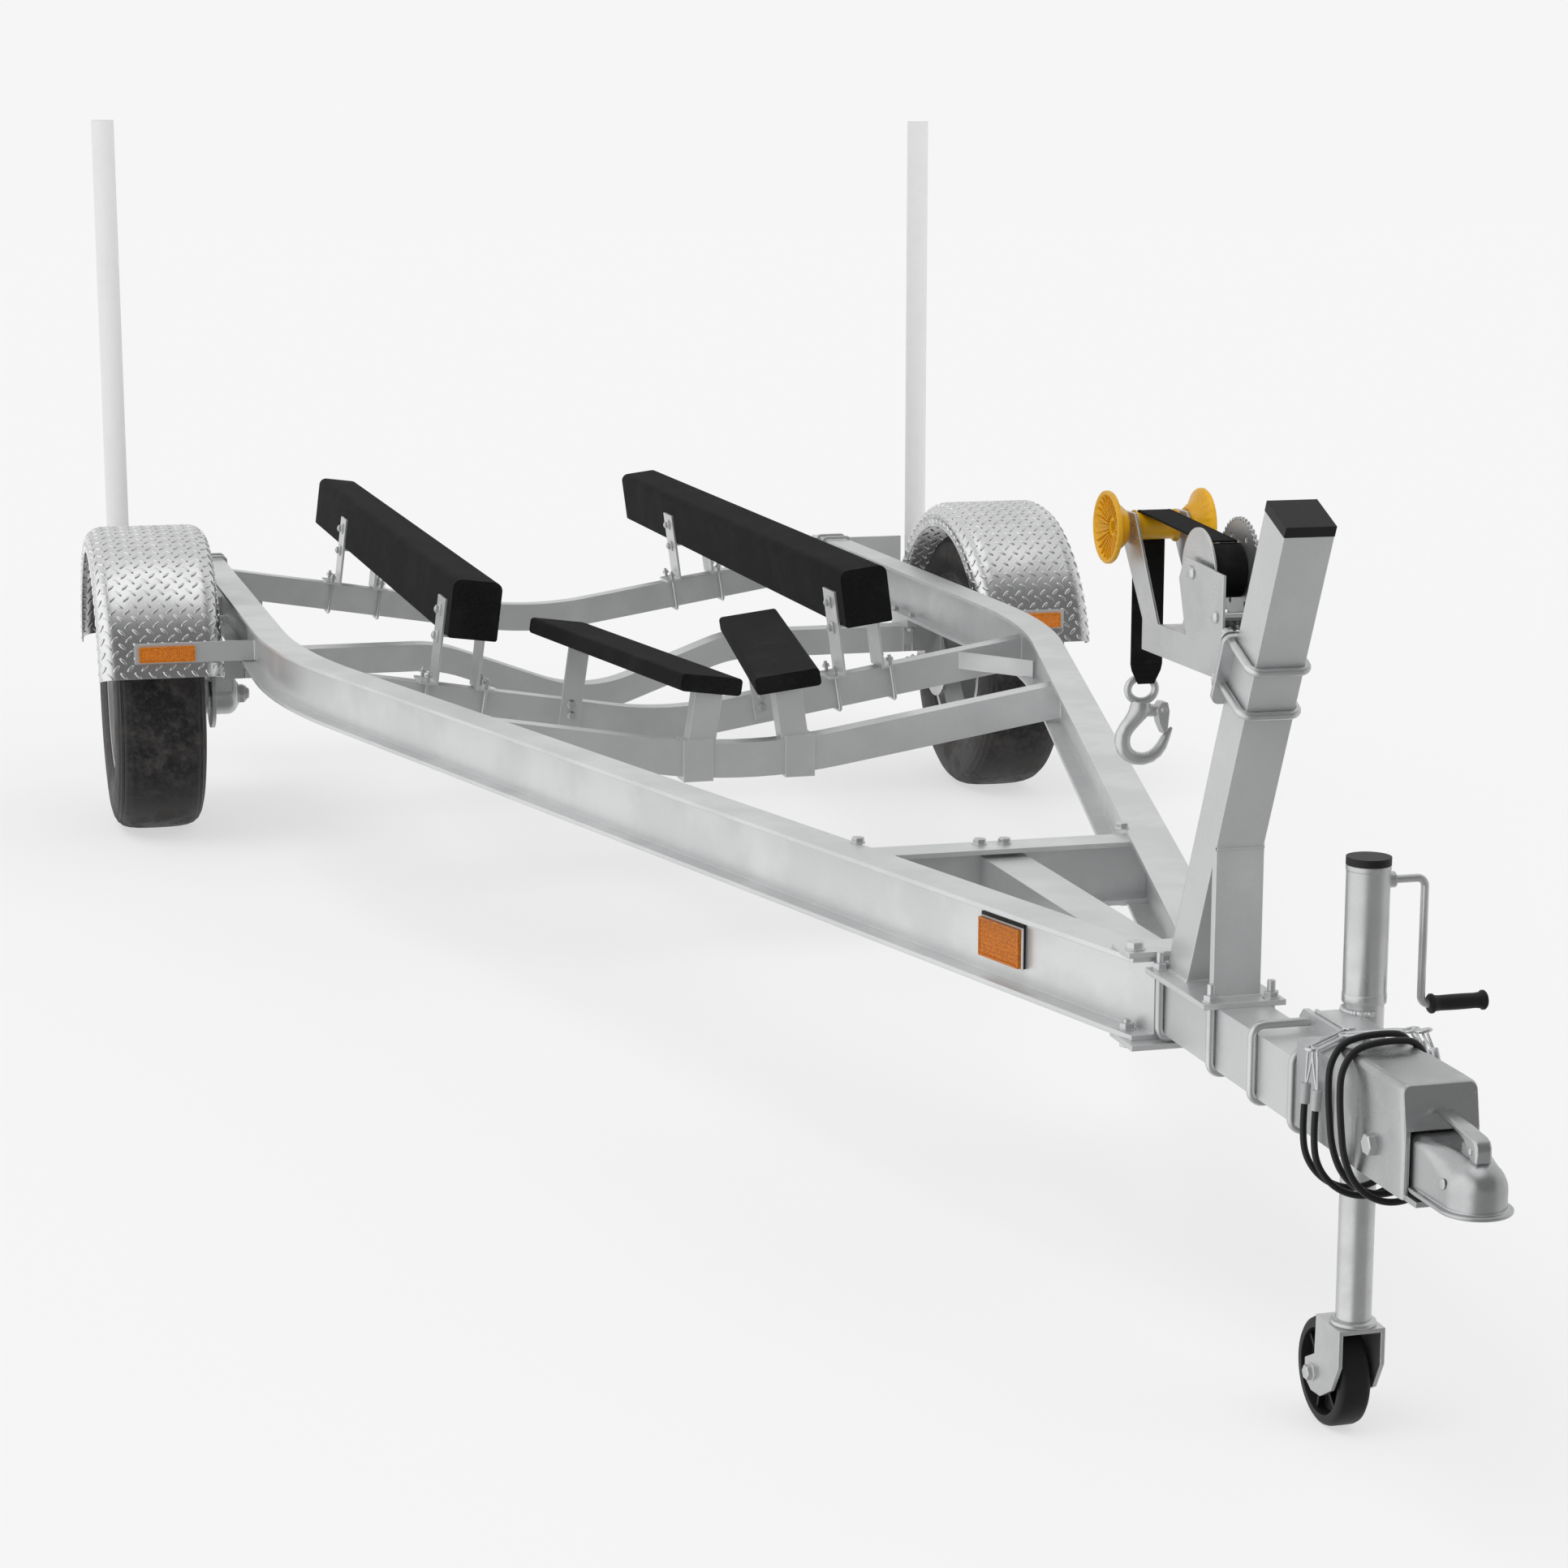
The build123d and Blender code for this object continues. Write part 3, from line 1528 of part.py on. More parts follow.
# Columns: distance ahead of the ball, height above the dome
lever_outline = [
    (-88.0, 30.0),
    (-87.0, 36.0),
    (8.0, 27.0),
    (18.0, 20.0),
    (18.0, -4.0),
    (4.0, -4.0),
    (-10.0, 10.0),
    (-15.0, 16.0),
    (-28.0, 20.0),
]
with BuildPart() as latch_lever:
    with BuildSketch(Plane.XZ.offset(-lever_half)):
        with BuildLine():
            Polyline(*[(ball_x + along, dome_top + up) for along, up in lever_outline], close=True)
        make_face()
    extrude(amount=2 * lever_half)
    add(coupler_head.part, mode=Mode.SUBTRACT)
finish(latch_lever.part, "latch_lever")

# ---------------------------------------------------------------- safety cables
# Columns: station, Y, Z
cable_route = [
    (4866, -57, 541),
    (4868, -60, 504),
    (4874, -56, 468),
    (4884, -34, 440),
    (4892, 0, 429),
    (4900, 34, 440),
    (4908, 58, 470),
    (4914, 66, 508),
    (4920, 67, 546),
    (4926, 67, 584),
    (4931, 63, 618),
    (4937, 44, 644),
    (4942, 14, 648),
    (4947, -18, 648),
    (4951, -47, 642),
    (4955, -65, 617),
    (4960, -68, 584),
    (4964, -67, 550),
    (4968, -64, 510),
    (4974, -50, 474),
    (4980, -20, 452),
    (4983, 16, 451),
    (4980, 50, 468),
    (4968, 74, 500),
    (4952, 82, 540),
    (4936, 84, 570),
    (4918, 84, 600),
]
# Columns: name, shift along X
cable_lanes = [("left", 0.0), ("right", -34.0)]


def cord_tube(route, diameter):
    """A round cord along straight runs joined by tangent arcs."""
    points = [Vector(*point) for point in route]
    radii = []
    for before, corner, after in zip(points, points[1:], points[2:]):
        turn = radians((corner - before).get_angle(after - corner))
        shorter = min((corner - before).length, (after - corner).length)
        radii.append(0.45 * shorter / tan(turn / 2))
    print("cable radii:", [round(radius) for radius in radii])
    with BuildPart() as tube:
        with BuildLine() as run:
            FilletPolyline(*points, radius=radii)
        path = run.wires()[0]
        with BuildSketch(Plane(origin=path @ 0, z_dir=path % 0)):
            Circle(diameter / 2)
        sweep(path=path)
    share = tube.part.volume / (pi * diameter**2 / 4 * path.length)
    print("cable length:", round(path.length), "volume against section times length:", round(share, 6))
    return tube.part


def cable_points(shift):
    """A cable's route in its own lane."""
    return [(sx(station + shift), y, z) for station, y, z in cable_route]


for name, shift in cable_lanes:
    finish(cord_tube(cable_points(shift), cable_diameter), f"safety_cable_{name}")

ferrule_radius = 6.5
ferrule_length = 26.0
with BuildPart() as cable_ferrules:
    for name, shift in cable_lanes:
        start, second = [Vector(*point) for point in cable_points(shift)[:2]]
        along = (start - second).normalized()
        with BuildSketch(Plane(origin=start, z_dir=along)):
            Circle(ferrule_radius)
        extrude(amount=ferrule_length)
finish(cable_ferrules.part, "cable_ferrules")
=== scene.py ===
"""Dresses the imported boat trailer: its camera, light, finishes and fine parts, in metres."""

from __future__ import annotations

import json
import logging
import random
from dataclasses import dataclass
from enum import Enum
from functools import cache
from math import atan2, copysign, cos, hypot, pi, radians, sin, sqrt, tan, tau
from typing import Callable, Sequence

import bmesh
import bpy
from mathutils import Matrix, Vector

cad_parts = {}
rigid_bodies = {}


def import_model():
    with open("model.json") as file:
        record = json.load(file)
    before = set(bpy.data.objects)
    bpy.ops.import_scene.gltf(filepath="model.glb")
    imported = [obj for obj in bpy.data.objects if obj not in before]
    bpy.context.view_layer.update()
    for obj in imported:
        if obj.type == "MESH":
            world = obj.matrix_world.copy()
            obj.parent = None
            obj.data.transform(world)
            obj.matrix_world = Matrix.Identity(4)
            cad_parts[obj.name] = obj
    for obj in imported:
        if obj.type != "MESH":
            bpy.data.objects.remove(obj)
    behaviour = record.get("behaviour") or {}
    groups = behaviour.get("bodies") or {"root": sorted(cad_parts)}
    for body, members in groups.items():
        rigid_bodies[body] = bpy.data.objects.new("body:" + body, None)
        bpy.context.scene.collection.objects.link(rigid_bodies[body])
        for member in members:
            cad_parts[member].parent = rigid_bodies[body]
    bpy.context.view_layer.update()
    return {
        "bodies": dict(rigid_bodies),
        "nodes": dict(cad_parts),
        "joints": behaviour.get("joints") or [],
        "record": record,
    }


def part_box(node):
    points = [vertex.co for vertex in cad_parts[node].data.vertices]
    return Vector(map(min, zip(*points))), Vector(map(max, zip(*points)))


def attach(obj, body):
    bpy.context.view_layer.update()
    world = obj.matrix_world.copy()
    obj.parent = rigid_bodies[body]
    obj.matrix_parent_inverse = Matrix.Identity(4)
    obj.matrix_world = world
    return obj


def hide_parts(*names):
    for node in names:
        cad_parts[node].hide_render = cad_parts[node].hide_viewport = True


LOG = logging.getLogger("trailer")
MM = 0.001
X_AXIS = Vector((1, 0, 0))
Y_AXIS = Vector((0, 1, 0))
Z_AXIS = Vector((0, 0, 1))
SIDES = ((1, "left"), (-1, "right"))
SQUARE = ((-1, -1), (1, -1), (1, 1), (-1, 1))
Pair = tuple[float, float]
Triple = tuple[float, float, float]
Colour = tuple[float, float, float]
Socket = bpy.types.NodeSocket
Sockets = bpy.types.bpy_prop_collection
Inputs = dict[str, "float | Socket"]


class Body(Enum):
    """The moving bodies that pieces ride on."""

    FRAME = "frame"
    WHEEL_LEFT = "wheel_left_body"
    WHEEL_RIGHT = "wheel_right_body"
    DRUM = "drum_body"
    ROLLER = "roller_body"
    JACK_LEG = "jack_leg_body"
    CASTER = "caster_body"
    CRANK = "crank_body"


class Slot(Enum):
    """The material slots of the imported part."""

    GALVANISED = "galvanised"
    ZINC = "zinc"
    ALUMINIUM = "aluminium"
    TYRE = "tyre"
    BLACK_PLASTIC = "black_plastic"
    AMBER_LENS = "amber_lens"
    RED_LENS = "red_lens"
    WHITE_TUBE = "white_tube"
    CARPET = "bunk_carpet"
    STRAP = "strap"
    AMBER_ROLLER = "amber_roller"
    BLACK_CABLE = "black_cable"


# ---- shader nodes


class NodeSheet:
    """Adds nodes to one node tree and links them."""

    def __init__(self, tree: bpy.types.NodeTree) -> None:
        """Starts on the node tree of a material, a group or a world."""
        self.tree = tree

    def fill(self, node: bpy.types.Node, inputs: dict) -> bpy.types.Node:
        """Sets or links a node's inputs.

        Args:
            node: the node.
            inputs: numbers, colours or output sockets, by input name or number.

        Returns:
            The node.
        """
        for key, value in inputs.items():
            if isinstance(value, Socket):
                self.tree.links.new(value, node.inputs[key])
            else:
                node.inputs[key].default_value = (*value, 1) if isinstance(value, tuple) else value
        return node

    def add(self, kind: str, inputs: dict | None = None, **settings) -> bpy.types.Node:
        """Adds a node.

        Args:
            kind: its type name, without ShaderNode in front.
            inputs: as for fill.
            settings: attributes of the node.

        Returns:
            The new node.
        """
        node = self.tree.nodes.new(f"ShaderNode{kind}")
        for key, value in settings.items():
            setattr(node, key, value)
        return self.fill(node, inputs or {})

    def place(self, name: str, **inputs) -> Sockets:
        """Places a shared node group with its own inputs and returns its outputs."""
        return self.add("Group", inputs, node_tree=Effects.get(name)).outputs

    def math(self, operation: str, first: Socket, second: float | Socket = 0.0, **settings) -> Socket:
        """Works out one value from one or two others."""
        return self.add("Math", {0: first, 1: second}, operation=operation, **settings).outputs[0]

    def noise(self, scale: float | Socket, detail: float, roughness: float = 0.5) -> Socket:
        """Adds noise that is fixed to the object, from 0 to 1."""
        place = self.add("TexCoord").outputs["Object"]
        inputs = {"Vector": place, "Scale": scale, "Detail": detail, "Roughness": roughness}
        return self.add("TexNoise", inputs).outputs[0]

    def bump(self, height: Socket, distance: float, normal: Socket | None = None) -> Socket:
        """Turns a height into a normal, over another normal where one is given."""
        under = {"Normal": normal} if normal else {}
        return self.add("Bump", {"Height": height, "Distance": distance, **under}).outputs[0]

    def average(self, share: float | Socket, first: Socket, second: Socket) -> Socket:
        """Mixes two values."""
        return self.add("Mix", {0: share, 2: first, 3: second}).outputs[0]

    def mix(self, share: Socket, first: Colour | Socket, second: Colour | Socket) -> Socket:
        """Mixes two colours."""
        return self.add("Mix", {0: share, 6: first, 7: second}, data_type="RGBA").outputs[2]

    def blend(self, share: Socket, first: Socket, second: Socket) -> Socket:
        """Mixes two shaders."""
        return self.add("MixShader", {0: share, 1: first, 2: second}).outputs[0]

    def glow(self, kind: str, colour: Colour, strength: float | Socket) -> Socket:
        """Adds an Emission or a Background shader."""
        return self.add(kind, {"Color": colour, "Strength": strength}).outputs[0]

    def ramp(
        self, value: Socket, low: float, high: float, to_low: float = 0, to_high: float = 1
    ) -> Socket:
        """Maps a value smoothly from one range to another.

        Args:
            value: the socket to map.
            low: the value that gives to_low.
            high: the value that gives to_high.
            to_low: the result at the low end.
            to_high: the result at the high end.

        Returns:
            The mapped value's socket.
        """
        names = ("Value", "From Min", "From Max", "To Min", "To Max")
        inputs = dict(zip(names, (value, low, high, to_low, to_high)))
        return self.add("MapRange", inputs, interpolation_type="SMOOTHSTEP").outputs[0]


def make_group(
    name: str,
    inputs: dict[str, float | Colour | None],
    outputs: dict[str, str],
    build: Callable[[NodeSheet, Sockets], Inputs],
) -> bpy.types.NodeTree:
    """Makes a shared shader group.

    Args:
        name: the group's name.
        inputs: default values by name; a tuple makes a colour and None a vector.
        outputs: the kind of each output, by name.
        build: adds the nodes between the inputs and the outputs.

    Returns:
        The group.
    """
    tree = bpy.data.node_groups.new(name, "ShaderNodeTree")
    kinds = {tuple: "Color", float: "Float", type(None): "Vector"}
    for key, value in inputs.items():
        kind = f"NodeSocket{kinds[type(value)]}"
        socket = tree.interface.new_socket(key, in_out="INPUT", socket_type=kind)
        if value is not None:
            socket.default_value = (*value, 1) if isinstance(value, tuple) else value
    for key, kind in outputs.items():
        tree.interface.new_socket(key, in_out="OUTPUT", socket_type=f"NodeSocket{kind}")
    sheet = NodeSheet(tree)
    given = tree.nodes.new("NodeGroupInput").outputs
    sheet.fill(tree.nodes.new("NodeGroupOutput"), build(sheet, given))
    return tree


def cloudy_coat(sheet: NodeSheet, given: Sockets) -> Inputs:
    """A metal coat that varies softly in patches, with a fine grain over them."""
    clouds = sheet.ramp(sheet.noise(given["Patch"], 4, 0.6), 0.38, 0.66)
    speckle = sheet.ramp(sheet.noise(given["Grain"], 1), 0.32, 0.7)
    shift = sheet.ramp(clouds, 0, 1, 0.06, -0.06)
    colour = sheet.mix(sheet.average(0.42, clouds, speckle), given["Dark"], given["Light"])
    return {"Color": colour, "Rough": sheet.math("ADD", given["Rough"], shift)}


def soft_edge(sheet: NodeSheet, given: Sockets) -> Inputs:
    """Rounded corners as light catches them, and a mask along the edges."""
    round_normal = sheet.add("Bevel", {"Radius": given["Radius"]}, samples=6).outputs[0]
    flat_normal = sheet.add("NewGeometry").outputs["Normal"]
    dot = sheet.add("VectorMath", {0: round_normal, 1: flat_normal}, operation="DOT_PRODUCT")
    return {"Normal": round_normal, "Edge": sheet.ramp(dot.outputs["Value"], 0.995, 0.86)}


def fine_grain(sheet: NodeSheet, given: Sockets) -> Inputs:
    """A small-scale height for bumps, from noise at one scale and another four times finer."""
    finer = sheet.math("MULTIPLY", given["Scale"], 4.0)
    coarse, fine = sheet.noise(given["Scale"], 2), sheet.noise(finer, 1)
    return {"Height": sheet.average(given["Fine"], coarse, fine)}


def dust(sheet: NodeSheet, given: Sockets) -> Inputs:
    """Dust that lies in blotches."""
    mask = sheet.ramp(sheet.noise(given["Scale"], 9, 0.72), 0.44, 0.68)
    return {"Mask": sheet.math("MULTIPLY", mask, given["Amount"])}


def weave(sheet: NodeSheet, given: Sockets) -> Inputs:
    """Ribs along one direction crossed by finer ones, as on webbing."""
    split = sheet.add("SeparateXYZ", {0: sheet.add("TexCoord").outputs["UV"]}).outputs
    waves = []
    for axis, name in ((0, "Pitch"), (1, "Cross")):
        angle = sheet.math("MULTIPLY", sheet.math("DIVIDE", split[axis], given[name]), tau)
        waves.append(sheet.math("SINE", angle))
    return {"Height": sheet.math("MULTIPLY", *waves)}


def surround(sheet: NodeSheet, given: Sockets) -> Inputs:
    """What shiny surfaces mirror: a pale backdrop, a light side and ceiling and a dim front."""
    split = sheet.add("SeparateXYZ", {0: given["Way"]}).outputs
    tone = sheet.ramp(split[0], -0.45, 0.6, 0.74, 0.16)
    for axis, low, high, most in ((2, 0.8, 1.0, 1.05), (1, -0.25, -0.8, 1.15), (1, 0.5, 1.0, 0.6)):
        tone = sheet.math("MAXIMUM", tone, sheet.ramp(split[axis], low, high, 0, most))
    return {"Tone": tone}


class Effects:
    """The shared shader groups, each built once."""

    # Name: inputs with their defaults, kinds of the outputs, builder
    makers: dict[str, tuple[dict, dict, Callable]] = {
        "cloudy_coat": (
            {"Light": (0.7, 0.7, 0.7), "Dark": (0.5, 0.5, 0.5), "Patch": 6.0, "Grain": 900.0,
             "Rough": 0.45},
            {"Color": "Color", "Rough": "Float"}, cloudy_coat,
        ),
        "soft_edge": ({"Radius": 0.002}, {"Normal": "Vector", "Edge": "Float"}, soft_edge),
        "fine_grain": ({"Scale": 500.0, "Fine": 0.4}, {"Height": "Float"}, fine_grain),
        "dust": ({"Scale": 9.0, "Amount": 0.5}, {"Mask": "Float"}, dust),
        "weave": ({"Pitch": 0.0016, "Cross": 0.0012}, {"Height": "Float"}, weave),
        "surround": ({"Way": None}, {"Tone": "Float"}, surround),
    }

    @classmethod
    def get(cls, name: str) -> bpy.types.NodeTree:
        """Returns a shared group, and builds it the first time."""
        return bpy.data.node_groups.get(name) or make_group(name, *cls.makers[name])


# ---- finishes


def start_material(name: str) -> tuple[bpy.types.Material, NodeSheet, bpy.types.Node]:
    """Makes a material and returns it with its sheet of nodes and its Principled shader."""
    material = bpy.data.materials.new(name)
    material.use_nodes = True
    return material, NodeSheet(material.node_tree), material.node_tree.nodes["Principled BSDF"]


class Finish:
    """A surface finish that can be made into a material."""

    name: str

    def surface(self, sheet: NodeSheet) -> Inputs:
        """Adds its nodes and returns the inputs of its surface shader."""
        raise NotImplementedError

    def material(self) -> bpy.types.Material:
        """Makes the finish's material."""
        material, sheet, shader = start_material(self.name)
        sheet.fill(shader, self.surface(sheet))
        return material


@dataclass(frozen=True)
class CoatedMetal(Finish):
    """Zinc-coated steel or aluminium: cloudy, grained, with a painted highlight along its edges."""

    name: str
    light: Colour
    dark: Colour
    metallic: float = 0.55
    roughness: float = 0.45
    patch_scale: float = 5.0
    grain_scale: float = 700.0
    edge_radius: float = 0.0022
    # Share of the painted edge highlight in the base colour
    painted_edge_highlight: float = 0.35
    bump: float = 0.00006
    # How much brighter than the light colour the painted edge highlight is
    highlight_gain: float = 1.35

    def surface(self, sheet: NodeSheet) -> Inputs:
        """Adds its nodes and returns the inputs of its surface shader."""
        coat = sheet.place(
            "cloudy_coat", Light=self.light, Dark=self.dark, Patch=self.patch_scale,
            Grain=self.grain_scale, Rough=self.roughness,
        )
        edge = sheet.place("soft_edge", Radius=self.edge_radius)
        # Painted highlight: along the edges the base colour turns towards a brighter copy of the light
        # colour, standing in for light caught on rounded corners
        highlight_share = sheet.math("MULTIPLY", edge["Edge"], self.painted_edge_highlight)
        highlight_colour = tuple(min(1.0, part * self.highlight_gain) for part in self.light)
        grain = sheet.place("fine_grain", Scale=self.grain_scale, Fine=0.5)
        return {
            "Base Color": sheet.mix(highlight_share, coat["Color"], highlight_colour),
            "Roughness": coat["Rough"],
            "Metallic": self.metallic,
            "Normal": sheet.bump(grain["Height"], self.bump, edge["Normal"]),
        }


@dataclass(frozen=True)
class MouldedPlastic(Finish):
    """Plastic with a faint moulded grain."""

    name: str
    colour: Colour
    worn: Colour
    roughness: float = 0.5
    grain_scale: float = 1500.0
    bump: float = 0.00008
    edge_radius: float = 0.0015

    def surface(self, sheet: NodeSheet) -> Inputs:
        """Adds its nodes and returns the inputs of its surface shader."""
        edge = sheet.place("soft_edge", Radius=self.edge_radius)
        blotch = sheet.place("dust", Scale=14.0, Amount=0.35)
        share = sheet.math("MAXIMUM", edge["Edge"], blotch["Mask"])
        grain = sheet.place("fine_grain", Scale=self.grain_scale, Fine=0.3)
        return {
            "Base Color": sheet.mix(share, self.colour, self.worn),
            "Roughness": self.roughness,
            "Specular IOR Level": 0.35,
            "Normal": sheet.bump(grain["Height"], self.bump, edge["Normal"]),
        }


@dataclass(frozen=True)
class TyreRubber(Finish):
    """Black rubber with dusty blotches."""

    name: str = "tyre_rubber"
    clean: Colour = (0.006, 0.006, 0.0065)
    dusty: Colour = (0.06, 0.053, 0.05)
    roughness: float = 0.6

    def surface(self, sheet: NodeSheet) -> Inputs:
        """Adds its nodes and returns the inputs of its surface shader."""
        blotch = sheet.place("dust", Scale=11.0, Amount=0.85)
        fine = sheet.place("dust", Scale=60.0, Amount=0.5)
        share = sheet.math("ADD", blotch["Mask"], fine["Mask"], use_clamp=True)
        grain = sheet.place("fine_grain", Scale=260.0, Fine=0.5)
        return {
            "Base Color": sheet.mix(share, self.clean, self.dusty),
            "Roughness": sheet.ramp(share, 0, 1, self.roughness - 0.14, self.roughness + 0.2),
            "Normal": sheet.bump(grain["Height"], 0.0004),
        }


@dataclass(frozen=True)
class BunkCarpet(Finish):
    """Short black pile with lint caught in it."""

    name: str = "bunk_pile"
    colour: Colour = (0.003, 0.003, 0.0034)
    tip: Colour = (0.015, 0.015, 0.016)

    def surface(self, sheet: NodeSheet) -> Inputs:
        """Adds its nodes and returns the inputs of its surface shader."""
        pile = sheet.place("fine_grain", Scale=420.0, Fine=0.55)["Height"]
        wear = sheet.place("dust", Scale=7.0, Amount=0.3)["Mask"]
        base = sheet.mix(sheet.ramp(pile, 0.42, 0.66), self.colour, self.tip)
        lint = tuple(part * 1.8 for part in self.tip)
        return {
            "Base Color": sheet.mix(wear, base, lint),
            "Roughness": 0.95,
            "Sheen Weight": 0.04,
            "Sheen Roughness": 0.5,
            "Specular IOR Level": 0.08,
            "Normal": sheet.bump(pile, 0.0012),
        }


@dataclass(frozen=True)
class Webbing(Finish):
    """Ribbed black polyester webbing."""

    name: str = "webbing"
    colour: Colour = (0.006, 0.006, 0.0065)
    worn: Colour = (0.045, 0.044, 0.044)

    def surface(self, sheet: NodeSheet) -> Inputs:
        """Adds its nodes and returns the inputs of its surface shader."""
        ribs = sheet.place("weave", Pitch=0.0024, Cross=0.0016)["Height"]
        wear = sheet.place("dust", Scale=40.0, Amount=0.6)["Mask"]
        share = sheet.math("MULTIPLY", wear, sheet.ramp(ribs, -1, 1, 0, 0.5))
        return {
            "Base Color": sheet.mix(share, self.colour, self.worn),
            "Roughness": 0.8,
            "Specular IOR Level": 0.2,
            "Normal": sheet.bump(ribs, 0.0003),
        }


@dataclass(frozen=True)
class ColouredLens(Finish):
    """Clear coloured plastic, glossy, with light inside it."""

    name: str
    colour: Colour
    deep: Colour
    transmission: float = 0.1
    roughness: float = 0.18

    def surface(self, sheet: NodeSheet) -> Inputs:
        """Adds its nodes and returns the inputs of its surface shader."""
        cells = sheet.place("fine_grain", Scale=320.0, Fine=0.5)["Height"]
        return {
            "Base Color": sheet.mix(sheet.ramp(cells, 0.35, 0.65), self.deep, self.colour),
            "Roughness": self.roughness,
            "Transmission Weight": self.transmission,
            "Specular IOR Level": 0.3,
        }


# Name: the slot that it takes, the finish
FINISHES: dict[str, tuple[Slot, Finish]] = {
    "galvanised": (Slot.GALVANISED, CoatedMetal(
        "galvanised_steel", (0.74, 0.748, 0.75), (0.65, 0.659, 0.662), metallic=0.75,
        roughness=0.38,
    )),
    "zinc": (Slot.ZINC, CoatedMetal(
        "zinc_plate", (0.68, 0.685, 0.688), (0.56, 0.566, 0.569), metallic=0.88, roughness=0.32,
        patch_scale=9.0, grain_scale=1100.0, painted_edge_highlight=0.5, bump=0.00003,
    )),
    "coupler_zinc": (Slot.GALVANISED, CoatedMetal(
        "coupler_zinc", (0.57, 0.578, 0.582), (0.46, 0.468, 0.471), metallic=0.92, roughness=0.3,
        patch_scale=9.0, grain_scale=900.0, painted_edge_highlight=0.6, bump=0.00002,
    )),
    "bright_steel": (Slot.ZINC, CoatedMetal(
        "bright_steel", (0.74, 0.75, 0.76), (0.6, 0.61, 0.62), metallic=0.95, roughness=0.28,
        patch_scale=20.0, grain_scale=1600.0,
    )),
    "ferrule": (Slot.ZINC, CoatedMetal(
        "ferrule_alloy", (0.52, 0.525, 0.53), (0.44, 0.445, 0.45), metallic=0.5,
        patch_scale=20.0, grain_scale=1600.0,
    )),
    "tread_plate": (Slot.ALUMINIUM, CoatedMetal(
        "tread_plate", (0.86, 0.862, 0.865), (0.74, 0.743, 0.746), metallic=1.0, roughness=0.24,
        patch_scale=8.0, grain_scale=1200.0, painted_edge_highlight=0.2, bump=0.00003,
    )),
    "black_plastic": (Slot.BLACK_PLASTIC, MouldedPlastic(
        "black_plastic", (0.007, 0.007, 0.0075), (0.015, 0.015, 0.016)
    )),
    "cable_cover": (Slot.BLACK_CABLE, MouldedPlastic(
        "cable_cover", (0.008, 0.008, 0.009), (0.015, 0.015, 0.016), roughness=0.38,
        edge_radius=0.0003,
    )),
    "white_tube": (Slot.WHITE_TUBE, MouldedPlastic(
        "white_tube", (0.8, 0.8, 0.8), (0.74, 0.74, 0.735), roughness=0.45, grain_scale=300.0
    )),
    "tyre": (Slot.TYRE, TyreRubber()),
    "carpet": (Slot.CARPET, BunkCarpet()),
    "webbing": (Slot.STRAP, Webbing()),
    "amber_lens": (Slot.AMBER_LENS, ColouredLens(
        "amber_lens", (0.78, 0.24, 0.006), (0.42, 0.105, 0.004)
    )),
    "red_lens": (Slot.RED_LENS, ColouredLens("red_lens", (0.6, 0.01, 0.01), (0.28, 0.004, 0.004))),
    "amber_roller": (Slot.AMBER_ROLLER, ColouredLens(
        "amber_roller", (0.99, 0.62, 0.015), (0.94, 0.47, 0.008), 0.45, 0.3
    )),
}


@cache
def finish(name: str) -> bpy.types.Material:
    """Returns a finish's material, and makes it the first time."""
    return FINISHES[name][1].material()


# ---- making meshes


def frame_of(direction: Vector, hint: Vector = Z_AXIS) -> tuple[Vector, Vector]:
    """Two unit vectors square to a direction and to each other.

    Args:
        direction: the direction.
        hint: what the second vector leans towards.

    Returns:
        The first and second vectors.
    """
    direction = direction.normalized()
    if abs(direction.dot(hint)) > 0.98:
        hint = X_AXIS
    first = hint.cross(direction).normalized()
    return first, direction.cross(first).normalized()


def turns(count: int, start: float = 0.0) -> list[float]:
    """Angles spread evenly round a circle, the first one a part of a step after zero."""
    return [tau * (step + start) / count for step in range(count)]


def spin(angle: float, first: Vector = X_AXIS, second: Vector = Z_AXIS) -> Vector:
    """The direction at an angle from a first axis towards a second."""
    return first * cos(angle) + second * sin(angle)


def circle(
    centre: Vector, radius: float, count: int, first: Vector = X_AXIS, second: Vector = Z_AXIS
) -> list[Vector]:
    """Points of a circle in the plane of two directions."""
    return [centre + spin(angle, first, second) * radius for angle in turns(count)]


def arc(centre: Pair, radius: float, start: float, end: float, steps: int) -> list[Pair]:
    """Points of an arc in a plane, its angles in degrees."""
    angles = [radians(start + (end - start) * step / steps) for step in range(steps + 1)]
    return [(centre[0] + radius * cos(a), centre[1] + radius * sin(a)) for a in angles]


def round_path(points: Sequence[Vector], radius: float, steps: int = 6) -> list[Vector]:
    """Rounds the corners of a path of straight runs.

    Args:
        points: the corners.
        radius: the bend's radius, cut down where a run is short.
        steps: chords in each bend.

    Returns:
        The path's points.
    """
    result = [points[0]]
    for before, corner, after in zip(points, points[1:], points[2:]):
        back, ahead = before - corner, after - corner
        turn = pi - back.angle(ahead)
        reach = min(radius * tan(turn / 2), 0.49 * back.length, 0.49 * ahead.length)
        start = corner + back.normalized() * reach
        end = corner + ahead.normalized() * reach
        bend = reach / tan(turn / 2)
        inward = (back.normalized() + ahead.normalized()).normalized()
        middle = corner + inward * (bend / cos(turn / 2))
        for step in range(steps + 1):
            spoke = (start - middle).slerp(end - middle, step / steps)
            result.append(middle + spoke.normalized() * bend)
    return [*result, points[-1]]


